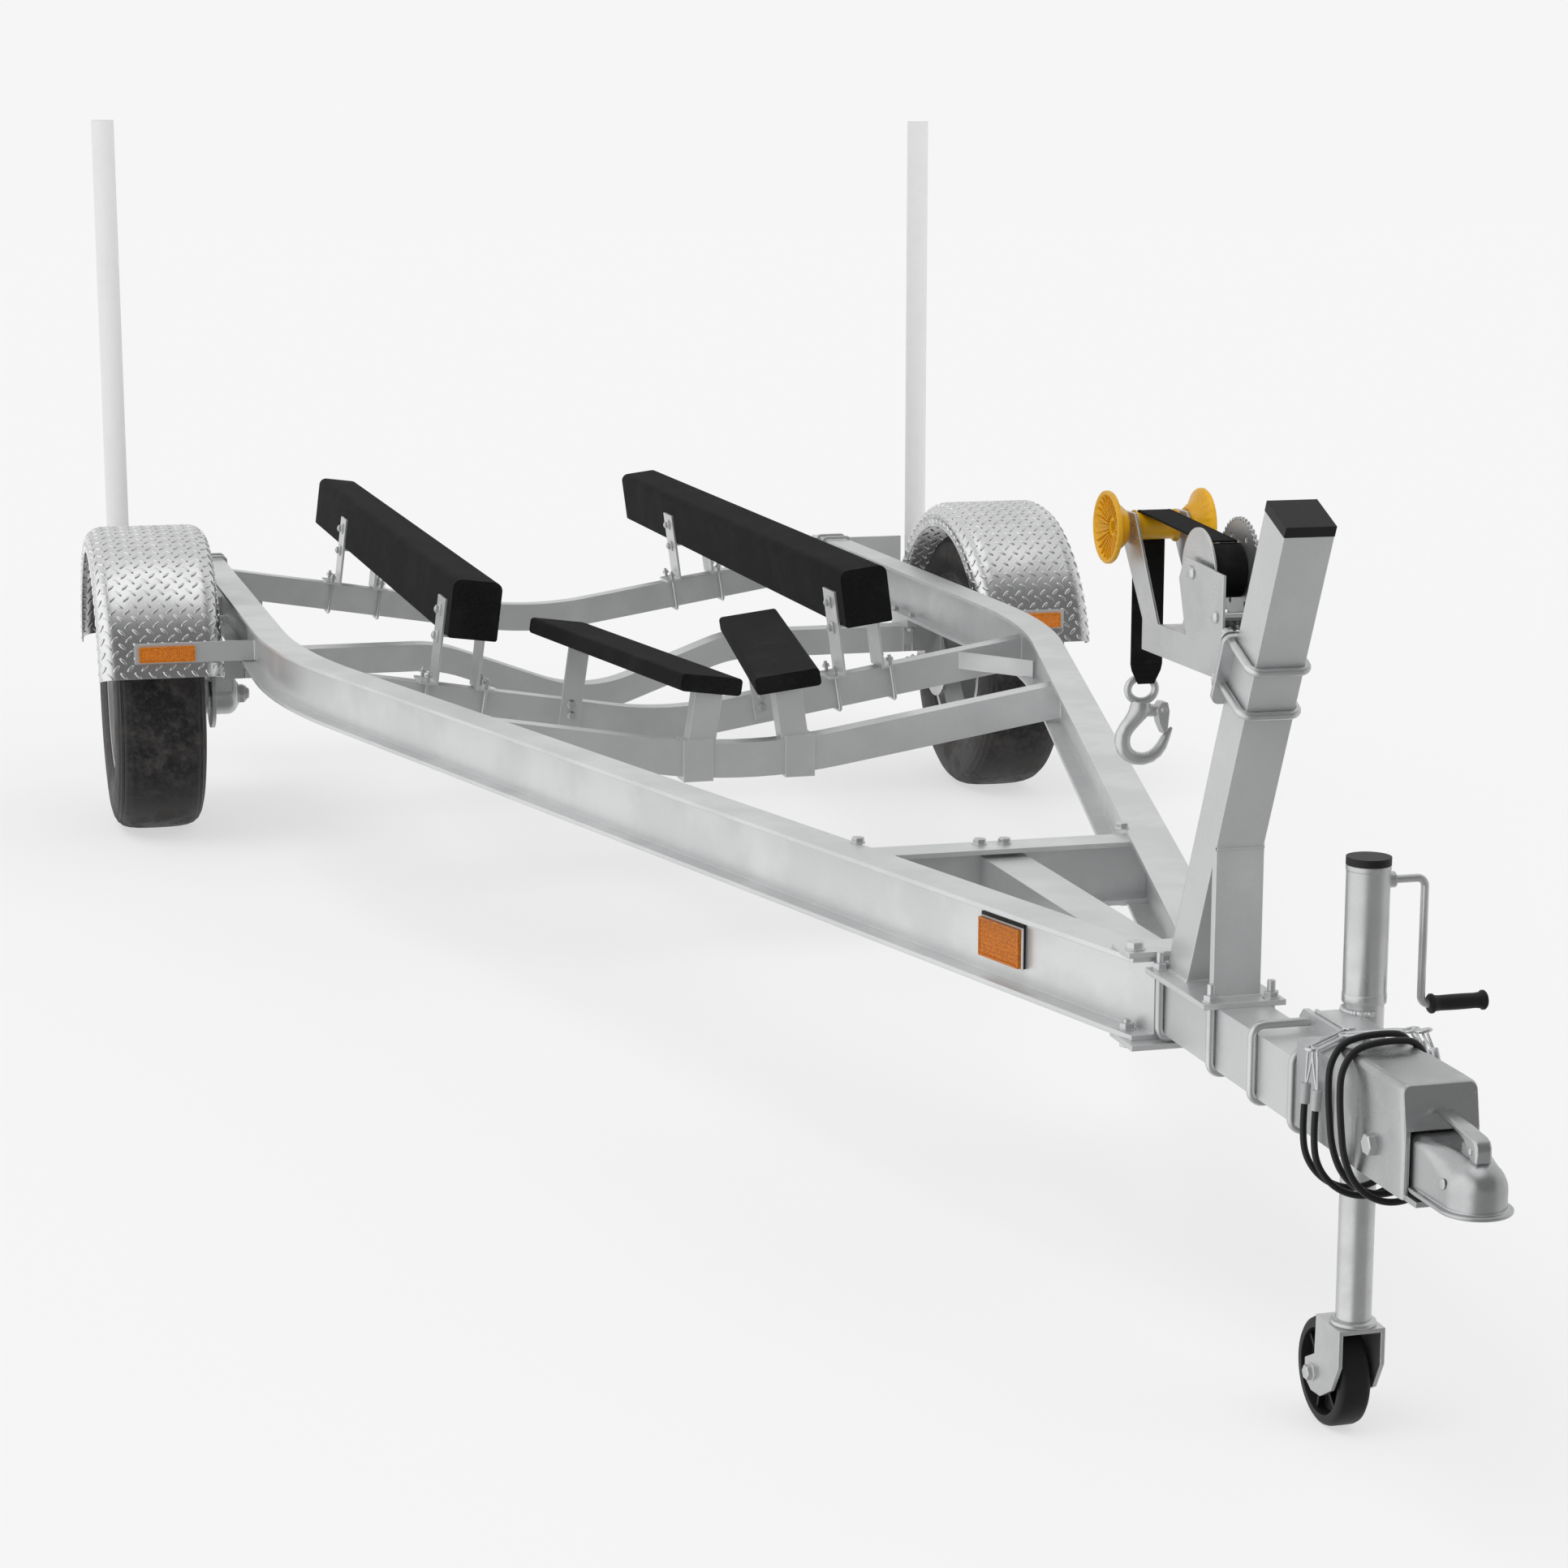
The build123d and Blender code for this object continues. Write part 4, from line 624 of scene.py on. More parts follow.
class Shaper:
    """Gathers the faces of one piece and turns them into an object."""

    def __init__(self, name: str) -> None:
        """Starts an empty piece with its name."""
        self.name = name
        self.points: list[Vector] = []
        self.faces: list[tuple[int, ...]] = []
        self.uvs: dict[int, Pair] = {}

    def sheet(self, rows: Sequence[Sequence[Vector]], wrap_rows=False, wrap_columns=False) -> int:
        """Adds quads through rows of points.

        Args:
            rows: points, each row as long as the others.
            wrap_rows: joins the last row to the first.
            wrap_columns: joins each row's last point to its first.

        Returns:
            The number of the first new point.
        """
        first = len(self.points)
        width = len(rows[0])
        for row in rows:
            self.points.extend(row)
        for r in range(len(rows) if wrap_rows else len(rows) - 1):
            low, high = first + r * width, first + ((r + 1) % len(rows)) * width
            for c in range(width if wrap_columns else width - 1):
                beside = (c + 1) % width
                self.faces.append((low + c, low + beside, high + beside, high + c))
        return first

    def cap(self, ring: Sequence[Vector]) -> None:
        """Closes a ring of points with one face."""
        first = len(self.points)
        self.points.extend(ring)
        self.faces.append(tuple(range(first, first + len(ring))))

    def loft(self, rings: Sequence[Sequence[Vector]]) -> None:
        """Adds a tube of any outline through rings of points, its ends closed."""
        first = self.sheet(rings, wrap_columns=True)
        width = len(rings[0])
        last = first + (len(rings) - 1) * width
        self.faces += [tuple(range(first, first + width)), tuple(range(last, last + width))]

    def lathe(
        self, outline: Sequence[Pair], centre: Vector, axis: Vector, steps: int, closed: bool = False
    ) -> None:
        """Turns an outline about an axis.

        Args:
            outline: pairs of a distance along the axis and a radius.
            centre: the axis's zero point.
            axis: its direction.
            steps: flats around.
            closed: whether the outline's last point joins its first.
        """
        first, second = frame_of(axis)
        axis = axis.normalized()
        rows = []
        for spoke in (spin(angle, first, second) for angle in turns(steps)):
            rows.append([centre + axis * along + spoke * radius for along, radius in outline])
        self.sheet(rows, wrap_rows=True, wrap_columns=closed)

    def tube(
        self, path: Sequence[Vector], radius: float | list[float], sides: int, closed: bool = False
    ) -> None:
        """Adds a round rod along a path.

        Args:
            path: the middle line's points.
            radius: one radius, or one for each point.
            sides: flats around.
            closed: whether the path is a loop.
        """
        radii = radius if isinstance(radius, list) else [radius] * len(path)
        count = len(path)
        rings = []
        spoke: Vector | None = None
        for number, point in enumerate(path):
            before = path[number - 1] if number or closed else point
            after = path[(number + 1) % count] if number < count - 1 or closed else point
            along = (after - before).normalized()
            spoke = frame_of(along)[0] if spoke is None else spoke
            spoke = (spoke - along * spoke.dot(along)).normalized()
            rings.append(circle(point, radii[number], sides, spoke, along.cross(spoke)))
        if closed:
            self.sheet(rings, wrap_rows=True, wrap_columns=True)
        else:
            self.loft(rings)

    def rod(
        self, corners: Sequence[Vector], bend: float, radius: float, sides: int, steps: int = 6
    ) -> None:
        """Adds a round rod through corners that it rounds."""
        self.tube(round_path(corners, bend, steps), radius, sides)

    def prism(self, outline: Sequence[Vector], depth: Vector) -> None:
        """Adds a plate: a flat outline pushed along a depth."""
        self.loft([outline, [point + depth for point in outline]])

    def box(self, low: Vector, high: Vector) -> None:
        """Adds a block between two corners."""
        corners = [(low.x, low.y), (high.x, low.y), (high.x, high.y), (low.x, high.y)]
        self.prism([Vector((x, y, low.z)) for x, y in corners], Vector((0, 0, high.z - low.z)))

    def hexagon(self, foot: Vector, normal: Vector, across: float, height: float) -> None:
        """Adds a hexagonal head or nut with a chamfered top.

        Args:
            foot: the middle of its seat.
            normal: the way it stands.
            across: its width over the flats.
            height: how far it stands.
        """
        plane = frame_of(normal)
        normal = normal.normalized()
        self.loft([
            circle(foot + normal * height * lift, across / sqrt(3) * share, 6, *plane)
            for share, lift in ((1, 0), (1, 0.86), (0.88, 1))
        ])

    def disc(self, foot: Vector, normal: Vector, radius: float, height: float, sides=24) -> None:
        """Adds a round washer or stud with a softened rim."""
        soft = min(height, radius) * 0.3
        outline = [(0, 0.0001), (0, radius), (height - soft, radius), (height, radius - soft)]
        self.lathe([*outline, (height, 0.0001)], foot, normal, sides)

    def bolt(self, foot: Vector, normal: Vector, thread: float, stud: float = 0.0) -> None:
        """Adds a washer and a hexagonal head, or a nut with the thread's end through it.

        Args:
            foot: the middle of the washer's seat.
            normal: the way it stands.
            thread: the thread's diameter.
            stud: how far the thread's end stands out of the nut.
        """
        up = normal.normalized()
        self.disc(foot, up, thread * 1.05, thread * 0.16)
        self.hexagon(foot + up * thread * 0.16, up, thread * 1.6, thread * 0.68)
        if stud:
            self.disc(foot + up * thread * 0.8, up, thread * 0.47, stud, 16)

    def thread(self, foot: Vector, axis: Vector, diameter: float, length: float) -> None:
        """Adds a screw thread as a row of fine ridges.

        Args:
            foot: where it starts.
            axis: the way it runs.
            diameter: over the ridges.
            length: its length.
        """
        pitch = diameter * 0.15
        count = max(2, int(length / pitch))
        outline = [(0.0, 0.0001)]
        for turn in range(count):
            outline += [(turn * pitch, diameter * 0.455), ((turn + 0.5) * pitch, diameter * 0.5)]
        outline += [(count * pitch, diameter * 0.43), (count * pitch, 0.0001)]
        self.lathe(outline, foot, axis, 14)

    def u_bolt(self, tips: Sequence[Vector], leg: Vector, rod: float, grip: float) -> None:
        """Adds a bent rod with a nut and a threaded end on each leg.

        Args:
            tips: the ends of its two legs.
            leg: from a tip to its bend.
            rod: the rod's diameter.
            grip: how far from the tips the nuts sit.
        """
        first, second = tips
        up = -leg.normalized()
        corners = [first - up * grip, first + leg, second + leg, second - up * grip]
        self.rod(corners, rod * 1.4, rod / 2, 14)
        for tip in tips:
            self.bolt(tip - up * grip, up, rod)
            self.thread(tip - up * grip, up, rod, grip)

    def weld(self, path: Sequence[Vector], radius: float, seed: int) -> None:
        """Adds a weld bead: a rod whose thickness ripples.

        Args:
            path: the corners that it runs through.
            radius: its mean radius.
            seed: which ripple it gets.
        """
        chance = random.Random(seed)
        points: list[Vector] = []
        for start, end in zip(path, path[1:]):
            steps = max(2, int((end - start).length / (radius * 1.1)))
            points += [start.lerp(end, step / steps) for step in range(steps)]
        points.append(path[-1])
        radii = [
            radius * (1 + 0.16 * sin(number * 2.1) + chance.uniform(-0.1, 0.1))
            for number in range(len(points))
        ]
        self.tube(points, radii, 8)

    def object(
        self, material: str, replaces: Sequence[str] = (), body: Body = Body.FRAME,
        bevel: float = 0.0, smooth_angle: float = 35.0,
    ) -> bpy.types.Object:
        """Turns the gathered faces into an object of the scene.

        Args:
            material: the finish's name.
            replaces: the CAD nodes that it stands for.
            body: the body that it rides on.
            bevel: width of its rounded edges.
            smooth_angle: corners sharper than this stay sharp.

        Returns:
            The new object.
        """
        mesh = bpy.data.meshes.new(self.name)
        mesh.from_pydata(self.points, [], self.faces)
        if self.uvs:
            layer = mesh.uv_layers.new(name="cloth")
            for loop in mesh.loops:
                layer.data[loop.index].uv = self.uvs[loop.vertex_index]
        work = bmesh.new()
        work.from_mesh(mesh)
        bmesh.ops.remove_doubles(work, verts=work.verts, dist=1e-6)
        bmesh.ops.recalc_face_normals(work, faces=work.faces)
        work.to_mesh(mesh)
        work.free()
        mesh.shade_smooth()
        mesh.set_sharp_from_angle(angle=radians(smooth_angle))
        piece = new_object(self.name, mesh)
        if bevel:
            edge = piece.modifiers.new("edge", "BEVEL")
            edge.width = bevel
            edge.segments = 2
            edge.limit_method = "ANGLE"
            edge.angle_limit = radians(smooth_angle)
        declare(piece, material, replaces, body)
        return piece


def new_object(name: str, data: bpy.types.ID) -> bpy.types.Object:
    """Makes an object and puts it in the scene."""
    item = bpy.data.objects.new(name, data)
    bpy.context.scene.collection.objects.link(item)
    return item


def declare(
    piece: bpy.types.Object, material: str, replaces: Sequence[str], body: Body = Body.FRAME
) -> None:
    """Gives a piece its finish and says what it rides on and which CAD nodes are its own.

    Args:
        piece: the piece.
        material: the finish's name.
        replaces: the CAD nodes that it stands for.
        body: the body that it rides on.
    """
    piece.data.materials.append(finish(material))
    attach(piece, body.value)
    if replaces:
        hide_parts(*replaces)
    LOG.info("%s rides on %s", piece.name, body.value)


def dress(frame: dict, material: str, *nodes: str) -> None:
    """Gives carried-over CAD nodes their finish.

    Args:
        frame: the loaded frame.
        material: the finish's name.
        nodes: the nodes' names.
    """
    for node in nodes:
        item = frame["nodes"][node]
        for place in item.material_slots:
            place.link = "OBJECT"
            place.material = finish(material)
        if not item.material_slots:
            item.data.materials.append(finish(material))
        LOG.info("%s is %s", node, material)


@dataclass
class Layout:
    """Where the trailer stands: stations are measured forward from the axle."""

    axle_x: float
    wheel_y: float = 1.141
    wheel_z: float = 0.352
    bend: float = radians(15.04)
    beam_y: float = 0.9115
    bend_station: float = 1.044
    member_rise: float = tan(radians(9.2))
    # Columns: station, height of the top at the middle; the front one carries no bunk
    members: tuple[Pair, ...] = ((-0.755, 0.429), (0.96, 0.411), (1.745, 0.456))

    def at(self, station: float, y: float, z: float) -> Vector:
        """The point at a station, offset and height."""
        return Vector((self.axle_x + station, y, z))

    def beam_line(self, station: float) -> float:
        """Offset of the left beam's middle line on its straight front run."""
        return self.beam_y - (station - self.bend_station) * tan(self.bend)


@dataclass
class Section:
    """A part of the trailer that is dressed and detailed together."""

    layout: Layout

    def at(self, station: float, y: float, z: float) -> Vector:
        """The point at a station, offset and height."""
        return self.layout.at(station, y, z)

    def along(self, *rows: Triple) -> list[Vector]:
        """The points at several stations, offsets and heights."""
        return [self.at(*row) for row in rows]


# ---- studio


@dataclass
class Studio(Section):
    """Camera, floor and lights."""

    eye: Triple = (8.594, -1.7579, 1.744)
    look: Triple = (-0.948, 0.2551, -0.1898)
    lens: float = 76.0
    film: float = 36.0
    sight: float = 300.0
    floor_half: float = 60.0
    backdrop: float = 0.92
    # Columns: towards the sun, strength, how many degrees wide
    suns: tuple[tuple[Triple, float, float], ...] = (
        ((0.25, -0.55, 1.0), 1.0, 38.0), ((0.9, 0.7, 0.8), 0.55, 60.0),
    )
    ambient: float = 0.74
    floor_shade: float = 0.83
    floor_glow: float = 0.64
    floor_mirrored: float = 0.8
    white: Colour = (1.0, 1.0, 1.0)

    def build_camera(self) -> None:
        """Places the camera at the front right, a little above the winch."""
        data = bpy.data.cameras.new("camera")
        camera = new_object("camera", data)
        camera.location = self.at(*self.eye)
        camera.rotation_euler = Vector(self.look).to_track_quat("-Z", "Y").to_euler()
        data.lens = self.lens
        data.sensor_width = self.film
        data.clip_end = self.sight
        bpy.context.scene.camera = camera

    def build_floor(self) -> None:
        """Lays a plain pale floor."""
        mesh = bpy.data.meshes.new("floor")
        corners = [(x * self.floor_half, y * self.floor_half, 0) for x, y in SQUARE]
        mesh.from_pydata(corners, [], [(0, 1, 2, 3)])
        floor = new_object("floor", mesh)
        material, sheet, shader = start_material("floor_paint")
        paint = {"Base Color": (self.floor_shade,) * 3, "Roughness": 1.0, "Specular IOR Level": 0.0}
        sheet.fill(shader, paint)
        ray = sheet.add("LightPath").outputs
        share = sheet.math("MULTIPLY", ray["Is Camera Ray"], self.floor_glow)
        shown = sheet.glow("Emission", (self.backdrop,) * 3, 1.0)
        mixed = sheet.blend(share, shader.outputs[0], shown)
        back = sheet.add("NewGeometry").outputs["Incoming"]
        way = sheet.add("VectorMath", {0: back, "Scale": -1.0}, operation="SCALE").outputs[0]
        mirrored = sheet.glow("Emission", self.white, sheet.place("surround", Way=way)["Tone"])
        share = sheet.math("MULTIPLY", ray["Is Glossy Ray"], self.floor_mirrored)
        mixed = sheet.blend(share, mixed, mirrored)
        sheet.fill(sheet.tree.nodes["Material Output"], {0: mixed})
        mesh.materials.append(material)

    def build_light(self) -> None:
        """Sets a soft even light with two broad suns."""
        for number, (towards, strength, angle) in enumerate(self.suns):
            data = bpy.data.lights.new(f"sun_{number}", "SUN")
            data.energy = strength
            data.angle = radians(angle)
            lamp = new_object(f"sun_{number}", data)
            lamp.rotation_euler = Vector(towards).to_track_quat("Z", "Y").to_euler()
            lamp.visible_glossy = False
        world = bpy.data.worlds.new("studio")
        bpy.context.scene.world = world
        world.cycles.sampling_method = "NONE"
        world.use_nodes = True
        sheet = NodeSheet(world.node_tree)
        sheet.tree.nodes.clear()
        light = sheet.glow("Background", self.white, self.ambient)
        shown = sheet.glow("Background", (self.backdrop,) * 3, 1.0)
        way = sheet.add("TexCoord").outputs["Generated"]
        mirrored = sheet.glow("Background", self.white, sheet.place("surround", Way=way)["Tone"])
        ray = sheet.add("LightPath").outputs
        shiny = sheet.math("MAXIMUM", ray["Is Glossy Ray"], ray["Is Transmission Ray"])
        mixed = sheet.blend(shiny, light, mirrored)
        sheet.add("OutputWorld", {0: sheet.blend(ray["Is Camera Ray"], mixed, shown)})

    def build(self) -> None:
        """Builds the studio."""
        self.build_camera()
        self.build_floor()
        self.build_light()
        bpy.context.scene.view_settings.view_transform = "Standard"


# ---- safety cables


@dataclass
class SafetyCables(Section):
    """Two covered wire ropes looped round the coupler, with ferrules, eyes and hooks."""

    diameter: float = 0.009
    length: float = 0.93
    wire: float = 0.0035
    rod: float = 0.0052
    eye_radius: float = 0.009
    eye_width: float = 0.014
    hook_width: float = 0.016
    ferrule_length: float = 0.026
    # Columns: station, Y, Z, in millimetres
    route: tuple[Triple, ...] = (
        (4866, -57, 541), (4868, -60, 504), (4874, -56, 468), (4884, -34, 440), (4892, 0, 429),
        (4900, 34, 440), (4908, 58, 470), (4914, 66, 508), (4920, 67, 546), (4926, 67, 584),
        (4931, 63, 618), (4937, 44, 644), (4942, 14, 648), (4947, -18, 648), (4951, -47, 642),
        (4955, -65, 617), (4960, -68, 584), (4964, -67, 550), (4968, -64, 510), (4974, -50, 474),
        (4980, -20, 452), (4983, 16, 451), (4980, 50, 468), (4968, 74, 500), (4952, 82, 540),
        (4936, 84, 570), (4918, 84, 600),
    )
    # Columns: name, shift along X in millimetres, the hook's ring, the hook's end
    lanes: tuple[tuple[str, float, Triple, Triple], ...] = (
        ("left", 0, (4.884, 0.08, 0.6405), (4.8, 0.04, 0.615)),
        ("right", -34, (4.85, 0.08, 0.6325), (4.79, 0.008, 0.615)),
    )

    def points(self, shift: float) -> list[Vector]:
        """The route's points in one lane."""
        return self.along(*(((x + shift) * MM, y * MM, z * MM) for x, y, z in self.route))

    def build_loop(self, shape: Shaper, foot: Vector, tip: Vector) -> None:
        """Adds a bare wire eye that runs from a ferrule round a point and back.

        Args:
            shape: the piece that gets the loop.
            foot: where both strands leave the ferrule.
            tip: the far end of the eye.
        """
        along = tip - foot
        aside = frame_of(along, X_AXIS)[1] * self.eye_width / 2
        neck = foot + along * 0.72
        corners = [
            foot + aside * 0.2, neck + aside, tip + aside, tip - aside, neck - aside,
            foot - aside * 0.2,
        ]
        shape.rod(corners, self.eye_width * 0.48, self.wire / 2, 8, 5)

    def build_hook(self, name: str, ring: Vector, end: Vector) -> bpy.types.Object:
        """Makes a long rod hook that lies flat, with a turned eye at one end.

        Args:
            name: the hook's name.
            ring: the middle of its eye.
            end: the bend at its other end.

        Returns:
            The hook.
        """
        shape = Shaper(name)
        along = (end - ring).normalized()
        aside = Z_AXIS.cross(along).normalized()
        radius = self.eye_radius
        shape.tube(circle(ring, radius, 20, along, aside), self.rod / 2, 10, closed=True)
        gap = aside * self.hook_width / 2
        corners = [
            ring + along * radius - gap * 0.2, ring + along * (radius + self.hook_width) - gap,
            end - gap, end + gap, ring + along * (radius + self.hook_width * 1.6) + gap,
        ]
        shape.rod(corners, self.hook_width * 0.49, self.rod / 2, 10)
        return shape.object("bright_steel")

    def build_cable(self, name: str, points: list[Vector], ends: list[bpy.types.Object]) -> None:
        """Args:
            name: which side's cable it is.
            points: its route.
            ends: the fittings at its far end; not used.
        """
        data = bpy.data.curves.new(f"cable_{name}", "CURVE")
        data.dimensions = "3D"
        spline = data.splines.new("NURBS")
        spline.points.add(len(points) - 1)
        for control, point in zip(spline.points, points):
            control.co = (*point, 1)
        spline.order_u = 3
        spline.use_endpoint_u = True
        spline.resolution_u = 12
        data.bevel_depth = self.diameter / 2
        data.bevel_resolution = 5
        data.use_fill_caps = True
        cable = new_object(f"cable_{name}", data)
        declare(cable, "cable_cover", [f"safety_cable_{name}"])
        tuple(points[0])

    def build_fitting(self, name: str, end: Vector, out: Vector, ring: Vector) -> bpy.types.Object:
        """Makes a crimped ferrule with a bare wire eye.

        Args:
            name: the piece's name.
            end: where the cable enters the ferrule.
            out: the way the ferrule runs on.
            ring: where the eye's far end lies.

        Returns:
            The piece.
        """
        shape = Shaper(name)
        length = self.ferrule_length
        outline = [(0, 0.003), (0, 0.0058), (0.001, 0.0064), (length - 0.001, 0.0064)]
        outline += [(length, 0.0058), (length, 0.002)]
        shape.lathe(outline, end, out, 20)
        self.build_loop(shape, end + out * length - out * 0.002, ring)
        return shape.object("bright_steel")

    def build_keeper(self) -> None:
        """Makes the bolted loop that holds the near eyes and the hooks' ends."""
        keeper = Shaper("cable_keeper")
        near, far = self.along((4.848, -0.06, 0.616), (4.772, 0.03, 0.615))
        aside = Z_AXIS.cross((far - near).normalized()) * self.hook_width / 2
        corners = [far + aside, near + aside, near - aside, far - aside]
        keeper.rod(corners, self.hook_width * 0.49, self.rod / 2, 12)
        keeper.bolt(far + Vector((0, 0, -0.0035)), Z_AXIS, 0.01)
        keeper.object("bright_steel")

    def build(self) -> None:
        """Builds both cables, their end fittings and the hooks on them."""
        for name, shift, *hook_ends in self.lanes:
            points = self.points(shift)
            out = (points[-1] - points[-2]).normalized()
            ring, end = self.along(*hook_ends)
            fitting = self.build_fitting(f"far_ferrule_{name}", points[-1], out, ring)
            hook = self.build_hook(f"safety_hook_{name}", ring, end)
            self.build_cable(name, points, [fitting, hook])
            up = (points[0] - points[1]).normalized()
            eye = Shaper(f"near_eye_{name}")
            top = self.at(4.846 + shift * 0.0003, -0.0515, 0.6165)
            self.build_loop(eye, points[0] + up * (self.ferrule_length - 0.002), top)
            eye.object("bright_steel")
        self.build_keeper()


# ---- frame


@dataclass
class Chassis(Section):
    """Beams, members and tongue, with their bolts and welds."""

    # Columns: station, Y, Z, thread
    upper_bolts: tuple[tuple[float, float, float, float], ...] = (
        (4.262, 0.07, 0.609, 0.014), (4.262, -0.07, 0.609, 0.014),
        (3.416, -0.237, 0.601, 0.012), (3.443, -0.033, 0.593, 0.012),
        (3.448, 0.009, 0.593, 0.012), (3.417, 0.231, 0.601, 0.012),
    )
    # Columns: station, Y
    lower_bolts: tuple[Pair, ...] = ((4.24, 0.072), (4.24, -0.072), (3.383, 0.247), (3.383, -0.247))
    lower_z: float = 0.485
    lower_grip: float = 0.016
    lower_thread: float = 0.012
    beam_top: float = 0.592
    member_height: float = 0.076
    half_depth: float = 0.025

    def web_face(self, station: float) -> float:
        """Offset of the inner face of the left beam's web."""
        inner = self.layout.beam_y - 0.003
        if station < 0.714:
            return inner
        if station < 1.36:
            return inner - (station - 0.714) ** 2 / 5.0
        return self.layout.beam_line(station) - 0.0031

    def build_bolts(self) -> None:
        """Makes the bolts that hold the beams to the tongue."""
        bolts = Shaper("frame_bolts")
        for station, y, z, thread in self.upper_bolts:
            bolts.bolt(self.at(station, y, z), Z_AXIS, thread)
        for station, y in self.lower_bolts:
            bolts.bolt(self.at(station, y, self.lower_z), Z_AXIS, self.lower_thread, 0.006)
            under = self.at(station, y, self.lower_z - self.lower_grip)
            bolts.bolt(under, -Z_AXIS, self.lower_thread)
        bolts.object("zinc")

    def build_welds(self) -> None:
        """Makes the beads round the ends of the cross-members."""
        welds = Shaper("frame_welds")
        for number, (station, tip) in enumerate(self.layout.members):
            for side, _ in SIDES:
                path = []
                for shift, drop in ((-1, 1), (-1, 0), (1, 0), (1, 1), (-1, 1)):
                    place = station + shift * self.half_depth
                    y = self.web_face(place)
                    top = min(tip + y * self.layout.member_rise, self.beam_top)
                    path.append(self.at(place, side * y, top - drop * self.member_height))
                welds.weld(path, 0.0026, number * 2 + side)
        welds.object("galvanised")

    def build(self, frame: dict) -> None:
        """Dresses the frame and adds its bolts and welds."""
        dress(
            frame, "galvanised", "beam_left", "beam_right", "rear_cross_member", "bunk_cross_member",
            "keel_cross_member", "front_cross_beam", "tongue_tube", "apex_plates",
        )
        self.build_bolts()
        self.build_welds()


# ---- wheels


@dataclass
class RunningGear(Section):
    """Axle, brakes, wheels and tyres."""

    half: float = 0.1137
    steps: int = 144
    lug_circle: float = 0.055
    lugs: int = 5
    axle_z: float = 0.338
    # Columns: share of half the width, radius
    crown: tuple[Pair, ...] = (
        (0.8, 0.1965), (0.826, 0.2068), (0.9, 0.218), (0.965, 0.24), (0.995, 0.262),
        (1.0, 0.283), (0.985, 0.303), (0.945, 0.3205), (0.88, 0.3335), (0.78, 0.3425),
        (0.64, 0.3478), (0.45, 0.3506), (0.22, 0.3517), (0.0, 0.352),
    )
    groove_places: tuple[float, ...] = (0.935, 0.908, 0.862, 0.836, 0.805)

    def tyre_outline(self) -> list[Pair]:
        """Outline of the tyre, with fine rings on its shoulders."""
        edge: list[Pair] = []
        for (first, low), (second, high) in zip(self.crown, self.crown[1:]):
            for share in (step / 6 for step in range(6)):
                edge.append((first + (second - first) * share, low + (high - low) * share))
        edge.append(self.crown[-1])
        for number, (place, radius) in enumerate(edge):
            if radius > 0.31 and any(abs(place - groove) < 0.007 for groove in self.groove_places):
                edge[number] = (place, radius - 0.0014)
        right = [(place * self.half, radius) for place, radius in edge]
        return right + [(-along, radius) for along, radius in reversed(right[:-1])]

    def build_wheel(self, side: int, name: str, body: Body) -> None:
        """Makes one wheel's tyre, nuts, cap and valve."""
        hub = self.at(0, side * self.layout.wheel_y, self.layout.wheel_z)
        out = Y_AXIS * side
        tyre = Shaper(f"road_tyre_{name}")
        tyre.lathe(self.tyre_outline(), hub, out, self.steps, closed=True)
        tyre.object("tyre", [f"tyre_{name}"], body, smooth_angle=50)
        nuts = Shaper(f"wheel_nuts_{name}")
        for angle in turns(self.lugs, 0.5):
            foot = hub + spin(angle) * self.lug_circle + out * 0.022
            nuts.disc(foot, out, 0.012, 0.003)
            nuts.hexagon(foot + out * 0.003, out, 0.019, 0.013)
            nuts.lathe([(0.013, 0.0085), (0.018, 0.0065), (0.02, 0.0001)], foot, out, 20)
        cap = [(0.026, 0.033), (0.028, 0.0345), (0.046, 0.0335), (0.054, 0.029), (0.058, 0.0001)]
        nuts.lathe(cap, hub, out, 40)
        nuts.object("zinc", body=body)
        valve = Shaper(f"valve_{name}")
        foot = hub + spin(0.9) * 0.182 + out * 0.045
        valve.disc(foot, out, 0.006, 0.012, 16)
        valve.disc(foot + out * 0.012, out, 0.004, 0.022, 16)
        valve.object("black_plastic", body=body)

    def build_axle(self) -> None:
        """Makes the nuts on the arm housings and the axle's brackets, and their welds."""
        gear, welds = Shaper("axle_nuts"), Shaper("axle_welds")
        for side, _ in SIDES:
            inward = Y_AXIS * -side
            hub = self.at(0, side * 0.9225, self.axle_z)
            gear.disc(hub, inward, 0.03, 0.003, 32)
            gear.hexagon(hub + inward * 0.003, inward, 0.044, 0.017)
            gear.disc(hub + inward * 0.018, inward, 0.0155, 0.0135, 28)
            gear.thread(hub + inward * 0.0235, inward, 0.026, 0.006)
            for shift in (-0.058, 0.088):
                gear.bolt(self.at(shift, side * 0.888, 0.485), Z_AXIS, 0.011, 0.004)
                gear.bolt(self.at(shift, side * 0.888, 0.455), -Z_AXIS, 0.011)
            for shift in (-0.021, 0.051):
                for y in (0.8785, 0.904):
                    path = self.along((shift, side * y, 0.386), (shift, side * y, 0.455))
                    welds.weld(path, 0.0024, side + 5)
            ring = circle(self.at(0, side * 0.984, self.axle_z), 0.052, 40)
            welds.weld([*ring, ring[0]], 0.0022, side + 9)
        gear.object("zinc")
        welds.object("galvanised")

    def build(self, frame: dict) -> None:
        """Dresses the axle and wheels and adds their fittings."""
        dress(frame, "galvanised", "axle_beam", "axle_brackets")
        dress(frame, "zinc", "axle_ends", "wheel_left", "wheel_right")
        self.build_axle()
        for (side, name), body in zip(SIDES, (Body.WHEEL_LEFT, Body.WHEEL_RIGHT)):
            self.build_wheel(side, name, body)


# ---- fenders


